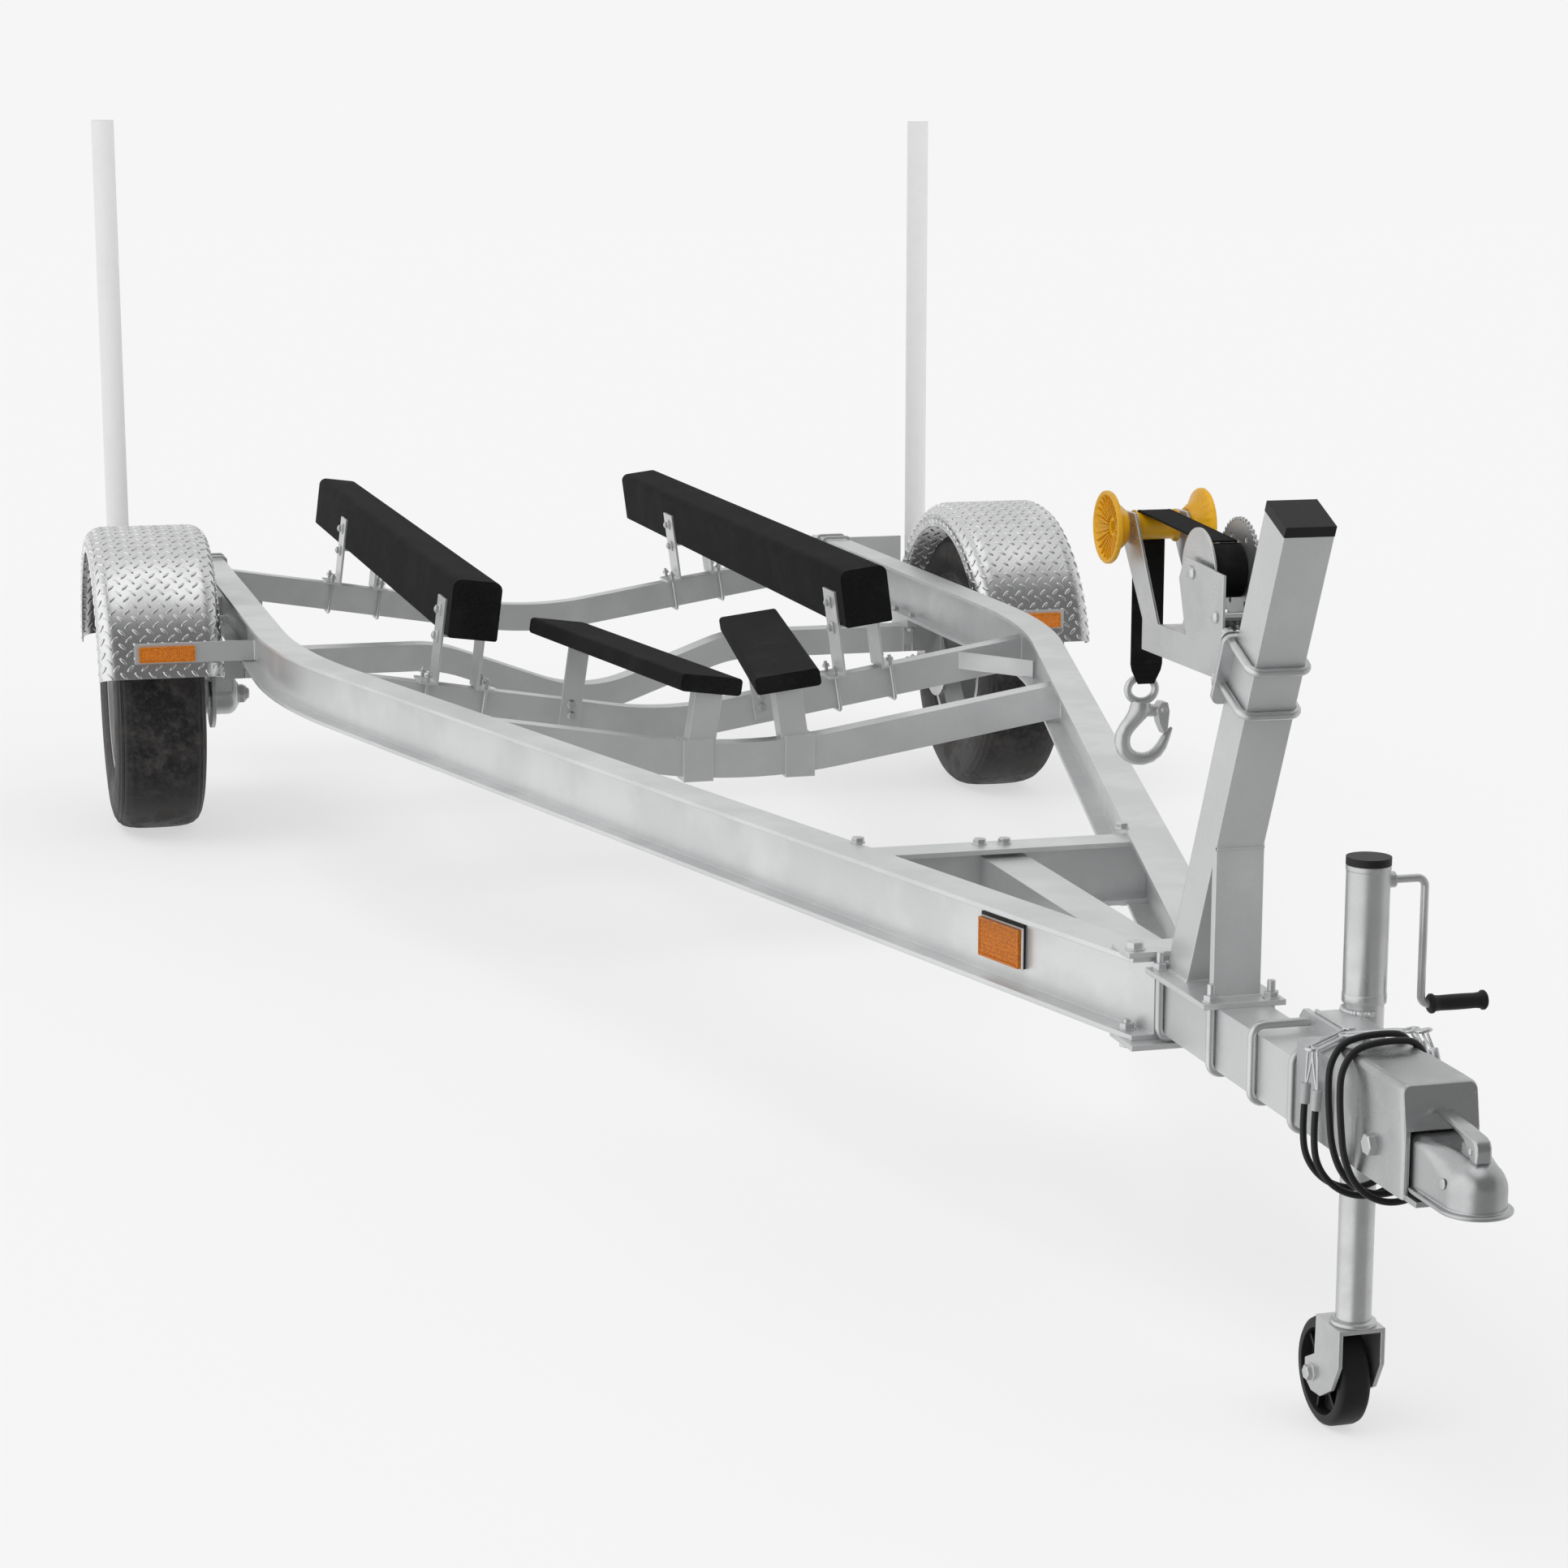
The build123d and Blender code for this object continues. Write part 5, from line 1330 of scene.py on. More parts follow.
@dataclass
class Fenders(Section):
    """Tread plate fenders on flat bars."""

    radius: float = 0.432
    centre_z: float = 0.347
    width: float = 0.303
    skirt: float = 0.062
    shoulder: float = 0.044
    sheet: float = 0.003
    lip_angle: float = radians(14)
    row_gap: float = 0.0182
    bar_gap: float = 0.0345
    bar_length: float = 0.0245
    bar_width: float = 0.0085
    bar_height: float = 0.0024
    bar_sides: int = 12

    def profile(self, run: float, lift: float) -> Pair:
        """Where a place on the outside of the bent section lies.

        Args:
            run: distance along the section from its middle.
            lift: height over the sheet, less than nothing for its inside.

        Returns:
            The offset across and the radius.
        """
        flat = self.width / 2 - self.shoulder
        bend = self.shoulder * pi / 2
        side = copysign(1, run)
        run = abs(run)
        if run <= flat:
            return side * run, self.radius + lift
        if run <= flat + bend:
            turn = (run - flat) / self.shoulder
            reach = self.shoulder + lift
            across = flat + reach * sin(turn)
            return side * across, self.radius - self.shoulder + reach * cos(turn)
        down = run - flat - bend
        return side * (self.width / 2 + lift), self.radius - self.shoulder - down

    def point(self, side: int, angle: float, run: float, lift: float) -> Vector:
        """A place on the fender, by its angle round the wheel and its run across."""
        across, radius = self.profile(run, lift)
        y = side * self.layout.wheel_y + across
        return self.at(radius * cos(angle), y, self.centre_z + radius * sin(angle))

    def add_bar(self, bars: Shaper, side: int, place: Pair, turn: float, outside: bool) -> None:
        """Adds one raised bar of the tread plate.

        Args:
            bars: the piece that gets it.
            side: 1 on the left and -1 on the right.
            place: its angle round the wheel and its run across.
            turn: how it is turned on the sheet.
            outside: whether it is outside the fender or inside.
        """
        angle, run = place
        rings = []
        for length, width, rise in ((1.0, 1.0, -1 / 12), (0.86, 0.86, 0.62), (0.585, 0.45, 1.0)):
            lift = rise * self.bar_height
            lift = lift if outside else -self.sheet - lift
            ring = []
            for t in turns(self.bar_sides):
                a = cos(t) * self.bar_length / 2 * length
                b = sin(t) * self.bar_width / 2 * width
                along = a * cos(turn) - b * sin(turn)
                over = a * sin(turn) + b * cos(turn)
                ring.append(self.point(side, angle + along / self.radius, run + over, lift))
            rings.append(ring)
        bars.sheet(rings, wrap_columns=True)
        bars.faces.append(tuple(range(len(bars.points) - self.bar_sides, len(bars.points))))

    def build_bars(self, side: int, name: str) -> None:
        """Makes the raised bars of the tread plate, outside and inside."""
        bars = Shaper(f"tread_bars_{name}")
        half_run = self.width / 2 - self.shoulder + self.shoulder * pi / 2
        half_run += self.skirt - self.shoulder
        sweep = pi - 2 * self.lip_angle
        rows = int(sweep * self.radius / self.row_gap)
        columns = int(2 * half_run / self.bar_gap)
        for outside in (True, False):
            for row in range(rows):
                angle = self.lip_angle + (row + 0.5) * sweep / rows
                lean = 1 if row % 2 else -1
                for column in range(columns + 1):
                    run = (column - columns / 2 + 0.25 * lean) * self.bar_gap
                    if abs(run) <= half_run - self.bar_length * 0.42:
                        self.add_bar(bars, side, (angle, run), radians(45 * lean), outside)
        bars.object("tread_plate", smooth_angle=80)

    def build_fixings(self) -> None:
        """Makes the bolts that hold the fenders to their bars and the beads on the bars."""
        bolts, welds = Shaper("fender_bolts"), Shaper("fender_welds")
        edges = (0.488, 0.538)
        for side, _ in SIDES:
            for front in (1, -1):
                for z in edges:
                    x = front * 0.411
                    start, end = self.along((x, side * 0.9148, z), (x, side * 0.9145, z))
                    welds.weld([start, end + X_AXIS * 0.004 * front], 0.002, 3)
                web = [self.at(front * 0.4145, side * 0.9152, z) for z in edges]
                welds.weld(web, 0.0024, 8)
            for angle in (0.62, 2.52):
                bolts.bolt(self.point(side, angle, -side * 0.19, 0.0), Y_AXIS * -side, 0.009)
        bolts.object("zinc")
        welds.object("galvanised")

    def build(self, frame: dict) -> None:
        """Dresses the fenders and their bars."""
        dress(frame, "tread_plate", "fender_left", "fender_right")
        dress(frame, "galvanised", "fender_bars")
        for side, name in SIDES:
            self.build_bars(side, name)
        self.build_fixings()


# ---- lamps


@dataclass
class Lamps(Section):
    """Marker and tail lamps with prismatic lenses."""

    bar_face: float = 0.4139
    lens_low: float = 0.492
    lens_high: float = 0.53
    near: float = 0.079
    far: float = 0.056
    depth: float = 0.009
    rim: float = 0.0035
    rim_drop: float = 0.0012
    peak: float = 0.0016
    marker_station: float = 3.907
    marker_length: float = 0.109
    marker_height: float = 0.061
    marker_z: float = 0.542
    marker_foot: float = 0.0075
    marker_depth: float = 0.0065
    tail_back: float = -0.787
    tail_inner: float = 0.965
    tail_outer: float = 1.115

    def lens(
        self, shape: Shaper, corner: Vector, u: Vector, v: Vector, out: Vector, cell: float
    ) -> None:
        """Adds a slab whose face is a field of little pyramids in a flat rim.

        Args:
            shape: the piece that gets it.
            corner: the slab's lower left corner on its seat.
            u: its width.
            v: its height.
            out: its depth.
            cell: the width of a pyramid.
        """
        right, up = u.normalized() * self.rim, v.normalized() * self.rim
        ends = [corner, corner + u, corner + u + v, corner + v]
        inset = [
            corner + right + up, corner + u - right + up, corner + u + v - right - up,
            corner + v + right - up,
        ]
        drop = out.normalized() * self.rim_drop
        shape.sheet(
            [ends, [p + out for p in ends], [p + out for p in inset], [p + out - drop for p in inset]],
            wrap_columns=True,
        )
        width, height = inset[1] - inset[0], inset[3] - inset[0]
        columns, rows = (max(2, round(side.length / cell)) for side in (width, height))
        base = inset[0] + out - drop
        peak = out.normalized() * self.peak
        across, rise = width / columns, height / rows
        for row in range(rows):
            for column in range(columns):
                low = base + width * (column / columns) + height * (row / rows)
                first = len(shape.points)
                shape.points += [low, low + across, low + across + rise, low + rise]
                shape.points.append(low + across / 2 + rise / 2 + peak)
                shape.faces += [(first + k, first + (k + 1) % 4, first + 4) for k in range(4)]

    def build_fender_lamp(self, side: int, name: str) -> None:
        """Makes the lamp on a fender's front bar."""
        lens = Shaper(f"fender_lens_{name}")
        edges = (self.layout.wheel_y - self.near, self.layout.wheel_y + self.far)
        corner = self.at(self.bar_face, min(side * edges[0], side * edges[1]), self.lens_low)
        wide, high = Y_AXIS * (edges[1] - edges[0]), Z_AXIS * (self.lens_high - self.lens_low)
        self.lens(lens, corner, wide, high, X_AXIS * self.depth, 0.0055)
        lens.object("amber_lens", ["amber_lenses"], smooth_angle=5)

    def build_side_marker(self, side: int, name: str) -> None:
        """Makes the lamp on a beam's web, with its white plate and gasket."""
        slope = self.layout.bend
        u = Vector((cos(slope), -side * sin(slope), 0))
        out = Vector((sin(slope), side * cos(slope), 0))
        line = self.layout.beam_line(self.marker_station)
        middle = self.at(self.marker_station, side * line, self.marker_z) + out * 0.003
        for piece, material, rim, low, high, off in (
            ("gasket", "black_plastic", 0.004, 0.0, 0.004, 0.0025),
            ("plate", "white_tube", 0.002, 0.004, self.marker_foot, 0.0),
        ):
            plate = Shaper(f"marker_{piece}_{name}")
            centre = middle + (u * side + Z_AXIS) * off
            ring = [
                centre + x * u * (self.marker_length / 2 + rim)
                + z * Z_AXIS * (self.marker_height / 2 + rim) + out * low
                for x, z in SQUARE
            ]
            plate.prism(ring, out * (high - low))
            plate.object(material, ["marker_plates"], bevel=0.0008)
        lens = Shaper(f"side_lens_{name}")
        wide, high = u * self.marker_length, Z_AXIS * self.marker_height
        foot = middle + (-wide / 2 - high / 2) + out * self.marker_foot
        self.lens(lens, foot, wide, high, out * self.marker_depth, 0.0065)
        lens.object("amber_lens", ["amber_lenses"], smooth_angle=5)

    def build_tail_lamp(self, side: int, name: str) -> None:
        """Makes a tail lamp: black case, red lens and its screws."""
        case = Shaper(f"tail_case_{name}")
        low, high = sorted((side * self.tail_inner, side * self.tail_outer))
        back = self.tail_back
        case.box(self.at(back - 0.02, low, 0.505), self.at(back, high, 0.585))
        case.object("black_plastic", ["tail_lamps"], bevel=0.003)
        lens = Shaper(f"tail_lens_{name}")
        corner = self.at(back - 0.02, low + 0.004, 0.509)
        wide = Y_AXIS * (high - low - 0.008)
        self.lens(lens, corner, wide, Z_AXIS * 0.072, X_AXIS * -0.0165, 0.007)
        lens.object("red_lens", ["tail_lamps"], smooth_angle=5)
        screws = Shaper(f"tail_screws_{name}")
        for y in (low + 0.0135, high - 0.0135):
            screws.disc(self.at(back - 0.0362, y, 0.545), -X_AXIS, 0.0035, 0.0012, 16)
        screws.object("zinc")

    def build(self, frame: dict) -> None:
        """Makes every lamp."""
        for side, name in SIDES:
            self.build_fender_lamp(side, name)
            self.build_side_marker(side, name)
            self.build_tail_lamp(side, name)


# ---- bunks and poles


@dataclass
class Bunks(Section):
    """Carpeted bunks on brackets, and the low bunks beside the keel."""

    tilt: float = radians(7.4)
    offset: float = 0.4805
    seat: float = 0.6145
    width: float = 0.116
    staples: int = 46
    staple_start: float = -1.34
    staple_gap: float = 0.0525

    def place(self, side: int, station: float, u: float, v: float) -> Vector:
        """A point in a bunk's own section: u across from its middle, v up from its underside."""
        lean = side * self.tilt
        y = side * self.offset + u * cos(lean) - v * sin(lean)
        z = self.seat + u * sin(lean) + v * cos(lean)
        return self.at(station, y, z)

    def leg_foot(self, side: int, station: float, tip: float, u: float) -> Vector:
        """Where a bracket's leg meets the member's sloping top."""
        start = self.place(side, station, u, 0)
        down = self.place(side, station, u, -0.1) - start
        slope = side * self.layout.member_rise
        run = (start.z - tip - slope * start.y) / (slope * down.y - down.z)
        return start + down * run

    def build_bracket(
        self, bolts: Shaper, rods: Shaper, side: int, station: float, tip: float
    ) -> None:
        """Makes the bolts of one bracket and the bent rods round the member.

        Args:
            bolts: the piece that gets the bolts.
            rods: the piece that gets the rods.
            side: 1 on the left and -1 on the right.
            station: the member's station.
            tip: height of the member's top at the middle.
        """
        lean = side * self.tilt
        aside = Vector((0, cos(lean), sin(lean)))
        rise = Vector((0, -aside.z, aside.y))
        for height in (0.052, -0.01):
            foot = self.place(side, station, -self.width / 2 - 0.006, height)
            washer = [foot + X_AXIS * a * 0.014 + rise * b * 0.014 for a, b in SQUARE]
            bolts.prism(washer, -aside * 0.003)
            bolts.bolt(foot - aside * 0.003, -aside, 0.011, 0.003)
        slope = Vector((0, 1, side * self.layout.member_rise)).normalized()
        up = Vector((0, -slope.z, slope.y))
        for leg, reach in ((-self.width / 2, -0.024), (self.width / 2 - 0.024, 0.024)):
            foot = self.leg_foot(side, station, tip, leg) + slope * reach + up * 0.006
            tips = [foot + X_AXIS * shift * 0.04 + up * 0.024 for shift in (-1, 1)]
            rods.u_bolt(tips, -up * 0.112, 0.009, 0.014)

    def build_staples(self) -> None:
        """Makes the staples that hold the carpet under the bunks."""
        staples = Shaper("bunk_staples")
        for side, _ in SIDES:
            for step in range(self.staples):
                station = self.staple_start + step * self.staple_gap
                if any(abs(station - member) < 0.03 for member, _ in self.layout.members[:2]):
                    continue
                middle = self.place(side, station, 0.044, -0.0004)
                across = (self.place(side, station, 0.054, -0.0004) - middle).normalized()
                staples.tube([middle - across * 0.005, middle + across * 0.005], 0.0006, 6)
        staples.object("zinc")

    def build(self, frame: dict) -> None:
        """Dresses the bunks and brackets and adds their fixings."""
        dress(frame, "carpet", "bunk_left", "bunk_right", "keel_bunk_left", "keel_bunk_right")
        dress(frame, "galvanised", "bunk_brackets", "keel_posts")
        bolts, rods = Shaper("bunk_bolts"), Shaper("bunk_rods")
        for side, _ in SIDES:
            for station, tip in self.layout.members[:2]:
                self.build_bracket(bolts, rods, side, station, tip)
        for side, _ in SIDES:
            for z in (0.44, 0.413):
                bolts.bolt(self.at(0.991, side * 0.2335, z), X_AXIS, 0.011)
        bolts.object("zinc")
        rods.object("zinc")
        self.build_staples()


@dataclass
class GuidePoles(Section):
    """White guide poles on the rear arms."""

    station: float = -0.763
    offset: float = 1.162
    radius: float = 0.03
    low: float = 0.477
    top: float = 1.807

    def build(self, frame: dict) -> None:
        """Dresses the arms and makes the poles' caps and clamps."""
        dress(frame, "galvanised", "rear_arms")
        dress(frame, "white_tube", "guide_poles")
        caps, clamps = Shaper("pole_caps"), Shaper("arm_clamps")
        # Columns: height, growth outside the pole
        cup = ((0, 0), (0, 0.012), (0.004, 0.012), (0.006, 0.004), (0.036, 0.003), (0.036, 0))
        for side, _ in SIDES:
            foot = self.at(self.station, side * self.offset, self.top)
            caps.disc(foot, Z_AXIS, self.radius - 0.0008, 0.002, 48)
            base = self.at(self.station, side * self.offset, self.low)
            outline = [(height, self.radius + growth) for height, growth in cup]
            clamps.lathe(outline, base, Z_AXIS, 48, closed=True)
            line = self.layout.beam_y + 0.0415
            for x in (self.station - 0.031, self.station + 0.031):
                tips = self.along((x, side * line, 0.417), (x, side * (line - 0.083), 0.417))
                clamps.u_bolt(tips, Z_AXIS * 0.1905, 0.009, 0.01)
        caps.object("white_tube")
        clamps.object("zinc")


# ---- winch stand


@dataclass
class WinchStand(Section):
    """The leaning post on the tongue, with the bent rods that clamp it."""

    lean: float = radians(23.9)
    foot: float = 4.336
    foot_z: float = 0.586
    half: float = 0.035
    rod: float = 0.012
    under: float = 0.4835
    tongue_rods: Pair = (4.296, 4.486)
    bracket_rods: Pair = (4.63, 4.764)
    post_rods: Pair = (0.535, 0.466)

    def on_post(self, up: float, ahead: float, y: float) -> Vector:
        """A point measured up the post from its foot and ahead of its middle line."""
        station = self.foot + up * sin(self.lean) + ahead * cos(self.lean)
        return self.at(station, y, self.foot_z + up * cos(self.lean) - ahead * sin(self.lean))

    def build_rods(self) -> None:
        """Makes the rods round the tongue and round the post."""
        rods = Shaper("stand_rods")
        for station in self.tongue_rods:
            tips = [self.at(station, side * 0.0445, self.foot_z + 0.026) for side, _ in SIDES]
            rods.u_bolt(tips, Z_AXIS * (self.under - self.foot_z - 0.026), self.rod, 0.026)
        for station in self.bracket_rods:
            tips = self.along((station, 0.07, 0.59), (station, 0.07, self.under))
            rods.u_bolt(tips, -Y_AXIS * 0.1145, self.rod, 0.024)
        back = Vector((-cos(self.lean), 0, sin(self.lean)))
        for up in self.post_rods:
            tips = [self.on_post(up, -0.066, side * 0.0415) for side, _ in SIDES]
            rods.u_bolt(tips, -back * 0.1075, self.rod, 0.0215)
        rods.object("zinc")

    def build_welds(self) -> None:
        """Makes the beads at the feet of the post and the prop."""
        welds = Shaper("stand_welds")
        rear, front, half = 4.2977, 4.3743, self.half
        post = ((rear, half), (rear, -half), (front, -half), (front, half), (rear, half))
        welds.weld([self.at(x, y, self.foot_z) for x, y in post], 0.003, 2)
        prop = ((4.456, -half), (4.47, -half), (4.47, half), (4.456, half))
        welds.weld([self.at(x, y, self.foot_z) for x, y in prop], 0.0026, 4)
        welds.weld([self.at(4.4695, y, 0.7965) for y in (-half, half)], 0.0026, 6)
        welds.object("galvanised")

    def build(self, frame: dict) -> None:
        """Dresses the stand and adds its rods and welds."""
        dress(frame, "galvanised", "winch_stand")
        dress(frame, "black_plastic", "tube_caps")
        self.build_rods()
        self.build_welds()


# ---- winch


@dataclass
class Winch(Section):
    """Drum, gears and strap between two zinc plates."""

    station: float = 4.37
    height: float = 1.167
    roller_station: float = 4.125
    roller_height: float = 1.202
    coil_radius: float = 0.038
    roller_radius: float = 0.0195
    strap_half: float = 0.0245
    strap_thickness: float = 0.0036
    hang_end: float = 0.967
    teeth: int = 46
    pinion_teeth: int = 12
    coil_ribs: int = 13

    def build_gears(self) -> None:
        """Makes the drum gear's teeth and the pinion with its shaft."""
        teeth = Shaper("drum_teeth")
        hub = self.at(self.station, 0.028, self.height)
        tooth = ((0.069, -0.0034), (0.0733, -0.0016), (0.0733, 0.0016), (0.069, 0.0034))
        for angle in turns(self.teeth):
            spoke, side = spin(angle), spin(angle, Z_AXIS, -X_AXIS)
            teeth.prism([hub + spoke * reach + side * half for reach, half in tooth], Y_AXIS * 0.005)
        teeth.object("zinc", body=Body.DRUM, smooth_angle=20)
        pinion = Shaper("pinion")
        x, z = 4.341, 1.089
        foot = self.at(x, 0.0275, z)
        outline = []
        for number in range(self.pinion_teeth):
            for turn, reach in ((-0.3, 0.011), (-0.16, 0.0155), (0.16, 0.0155), (0.3, 0.011)):
                angle = tau * (number + turn) / self.pinion_teeth
                outline.append(foot + spin(angle) * reach)
        pinion.prism(outline, Y_AXIS * 0.008)
        pinion.disc(self.at(x, -0.0375, z), Y_AXIS, 0.007, 0.075)
        pinion.disc(self.at(x, 0.042, z), Y_AXIS, 0.011, 0.006)
        pinion.object("zinc", smooth_angle=25)

    def build_fixings(self) -> None:
        """Makes the spacers, rivets, roller washers and the plate between the sides."""
        fixings = Shaper("winch_fixings")
        for station, z in ((4.363, 1.101), (4.463, 1.116), (4.2, 1.052)):
            fixings.disc(self.at(station, -0.0375, z), Y_AXIS, 0.006, 0.075, 20)
        dome = ((0, 0.0085), (0.002, 0.0085), (0.0045, 0.006), (0.0055, 0.0001))
        # Rivets on the left side and on the right, by station and height
        rivets = (((4.463, 1.116),), ((4.376, 1.165), (4.463, 1.116)))
        for (side, _), places in zip(SIDES, rivets):
            out = Y_AXIS * side
            for station, z in places:
                fixings.lathe(dome, self.at(station, side * 0.042, z), out, 20)
            washer = self.at(self.roller_station, side * 0.042, self.roller_height)
            fixings.disc(washer, out, 0.013, 0.002)
        fixings.box(self.at(4.25, -0.038, 1.0735), self.at(4.372, 0.038, 1.0765))
        fixings.object("zinc")

    def build_coil(self) -> None:
        """Makes the wound strap, its ribs running round the drum."""
        coil = Shaper("wound_strap")
        outline = [(-0.027, 0.016)]
        for step in range(self.coil_ribs * 2 + 1):
            share = step / (self.coil_ribs * 2)
            radius = self.coil_radius - (0.0007 if step % 2 else 0.0001)
            outline.append((-0.0255 + 0.051 * share, radius))
        outline.append((0.027, 0.016))
        start = self.at(self.station, 0, self.height)
        coil.lathe(outline, start, Y_AXIS, 72, closed=True)
        for turn in range(5):
            for side in (-1, 1):
                ring = circle(start + Y_AXIS * side * 0.0256, 0.021 + turn * 0.0034, 48)
                coil.tube(ring, 0.0015, 6, closed=True)
        coil.object("webbing", ["strap_coil"], Body.DRUM, smooth_angle=50)

    def strap_rows(self) -> list[tuple[Vector, Vector, float]]:
        """The strap's middle line, the way its outside faces and its half width."""
        out = self.coil_radius + self.strap_thickness / 2 + 0.0004
        near = self.roller_radius + self.strap_thickness / 2 + 0.0006
        span_x = self.station - self.roller_station
        span_z = self.height - self.roller_height
        span = hypot(span_x, span_z)
        turn = atan2(out - near, sqrt(span**2 - (out - near) ** 2))
        normal = atan2(span_z, span_x) + turn + pi / 2
        face = spin(normal)
        roller = self.at(self.roller_station, 0, self.roller_height)
        start = self.at(self.station, 0, self.height) + face * out
        rows = [(start.lerp(roller + face * near, k / 20), face, self.strap_half) for k in range(20)]
        for step in range(17):
            spoke = spin(normal + (pi - normal) * step / 16)
            rows.append((roller + spoke * near, spoke, self.strap_half))
        last = rows[-1][0]
        length = last.z - self.hang_end
        taper, narrower = 0.024, 0.012
        for drop in (length * step / 24 for step in range(1, 25)):
            half = self.strap_half - narrower * max(0.0, drop - length + taper) / taper
            rows.append((last - Z_AXIS * drop, -X_AXIS, half))
        return rows

    def build_strap(self) -> None:
        """Makes the taut strap: a woven band with thicker edges and a stitched end."""
        strap = Shaper("strap_band")
        thick = self.strap_thickness / 2
        # Columns: share of the half width, share of the half thickness
        across = (
            (-1, 0.55), (-0.97, 0.95), (-0.9, 1.0), (-0.86, 0.8), (-0.45, 0.82), (0, 0.82),
            (0.45, 0.82), (0.86, 0.8), (0.9, 1.0), (0.97, 0.95), (1, 0.55),
        )
        rows = self.strap_rows()
        rings = []
        run = 0.0
        before = rows[0][0]
        for place, face, half in rows:
            run += (place - before).length
            before = place
            ring = []
            for sign, section in ((1, across), (-1, across[::-1])):
                for share, lift in section:
                    strap.uvs[len(strap.uvs)] = (share * half + sign * 0.2, run)
                    ring.append(place + Y_AXIS * share * half + face * sign * thick * lift)
            rings.append(ring)
        strap.loft(rings)
        strap.object("webbing", ["winch_strap"], smooth_angle=60)
        seam = Shaper("strap_stitches")
        foot = rows[-1][0]
        for row in range(4):
            for column in range(9):
                for side in (-1, 1):
                    lift = Vector((side * thick * 0.85, (column - 4) * 0.004, 0.01 + row * 0.009))
                    middle = foot + lift
                    seam.tube([middle - Y_AXIS * 0.0013, middle + Y_AXIS * 0.0013], 0.0005, 5)
        seam.object("webbing")

    def build(self, frame: dict) -> None:
        """Dresses the plates and drum and makes the gears and the strap."""
        dress(frame, "zinc", "winch_frame", "winch_drum")
        self.build_gears()
        self.build_fixings()
        self.build_coil()
        self.build_strap()


@dataclass
class BowRoller(Section):
    """Ribbed amber roller: a waist and two bells that open outward."""

    station: float = 4.125
    height: float = 1.202
    ribs: int = 24
    steps: int = 80
    rib_half: float = 0.0008
    # Columns of the next three: distance from the middle, radius
    waist: tuple[Pair, ...] = (
        (-0.0325, 0.0095), (-0.0325, 0.0235), (-0.03, 0.0238), (-0.0265, 0.0195),
    )
    bell: tuple[Pair, ...] = (
        (0.0475, 0.0095), (0.0475, 0.0255), (0.053, 0.0305), (0.0585, 0.0345),
        (0.065, 0.0445), (0.0685, 0.0515), (0.0705, 0.0527), (0.0745, 0.0527),
        (0.0758, 0.0515), (0.0758, 0.0475), (0.0715, 0.0455), (0.065, 0.034),
        (0.0615, 0.021), (0.064, 0.015), (0.064, 0.0095),
    )
    rib: tuple[Pair, ...] = (
        (0.061, 0.015), (0.0672, 0.0165), (0.0715, 0.03), (0.0742, 0.048), (0.07, 0.047),
        (0.064, 0.034),
    )

    def build(self, frame: dict) -> None:
        """Makes the roller in place of its plain solid."""
        hub = self.at(self.station, 0, self.height)
        roller = Shaper("keel_roller")
        far_half = [(-along, radius) for along, radius in reversed(self.waist)]
        roller.lathe([*self.waist, *far_half], hub, Y_AXIS, self.steps, closed=True)
        for side, _ in SIDES:
            axis = Y_AXIS * side
            roller.lathe(self.bell, hub, axis, self.steps, closed=True)
            first, second = frame_of(axis)
            for angle in turns(self.ribs):
                spoke, turn = spin(angle, first, second), spin(angle, second, -first)
                outline = [
                    hub + axis * along + spoke * radius - turn * self.rib_half
                    for along, radius in self.rib
                ]
                roller.prism(outline, turn * self.rib_half * 2)
        roller.object("amber_roller", ["bow_roller"], Body.ROLLER, smooth_angle=40)


@dataclass
class BowHook(Section):
    """Forged snap hook at the strap's end: eye, swivel, bowl and latch."""

    station: float = 4.0962
    eye_z: float = 0.958
    # Columns of the bowl and the arm: Y, Z, radius of the forged section
    bowl: tuple[Triple, ...] = (
        (-0.004, 0.94, 0.013), (-0.0045, 0.933, 0.0155), (-0.0075, 0.925, 0.015),
        (-0.013, 0.917, 0.013), (-0.0195, 0.909, 0.0118), (-0.0265, 0.9005, 0.0114),
        (-0.0315, 0.891, 0.0116), (-0.0325, 0.88, 0.0116), (-0.0295, 0.8695, 0.0112),
        (-0.0225, 0.861, 0.0105), (-0.012, 0.8555, 0.0098), (0.0000, 0.854, 0.0093),
        (0.012, 0.8565, 0.009), (0.022, 0.863, 0.0086), (0.0295, 0.8725, 0.008),
        (0.0345, 0.883, 0.0068), (0.0395, 0.892, 0.005), (0.0445, 0.899, 0.0022),
    )
    arm: tuple[Triple, ...] = (
        (-0.004, 0.93, 0.011), (0.006, 0.9265, 0.01), (0.016, 0.9255, 0.009),
        (0.026, 0.9265, 0.008),
    )
    # Columns: Y, Z
    latch: tuple[Pair, ...] = (
        (0.0175, 0.929), (0.025, 0.939), (0.034, 0.938), (0.037, 0.925), (0.0345, 0.896),
        (0.029, 0.8915), (0.0215, 0.908),
    )

    def build(self, frame: dict) -> None:
        """Makes the hook in place of its plain solid."""
        hook = Shaper("bow_hook")
        eye = [
            self.at(self.station, -0.004 + 0.0215 * cos(t), self.eye_z + 0.0178 * sin(t))
            for t in turns(40)
        ]
        hook.tube(eye, 0.0058, 12, closed=True)
        for rows, sides in ((self.bowl, 14), (self.arm, 12)):
            path = [self.at(self.station, y, z) for y, z, _ in rows]
            hook.tube(path, [radius for _, _, radius in rows], sides)
        outline = [self.at(self.station - 0.0105, y, z) for y, z in self.latch]
        hook.prism(outline, X_AXIS * 0.021)
        hook.disc(self.at(self.station - 0.013, 0.0285, 0.9275), X_AXIS, 0.0042, 0.026, 20)
        hook.object("zinc", ["winch_hook"], smooth_angle=45)


# ---- jack


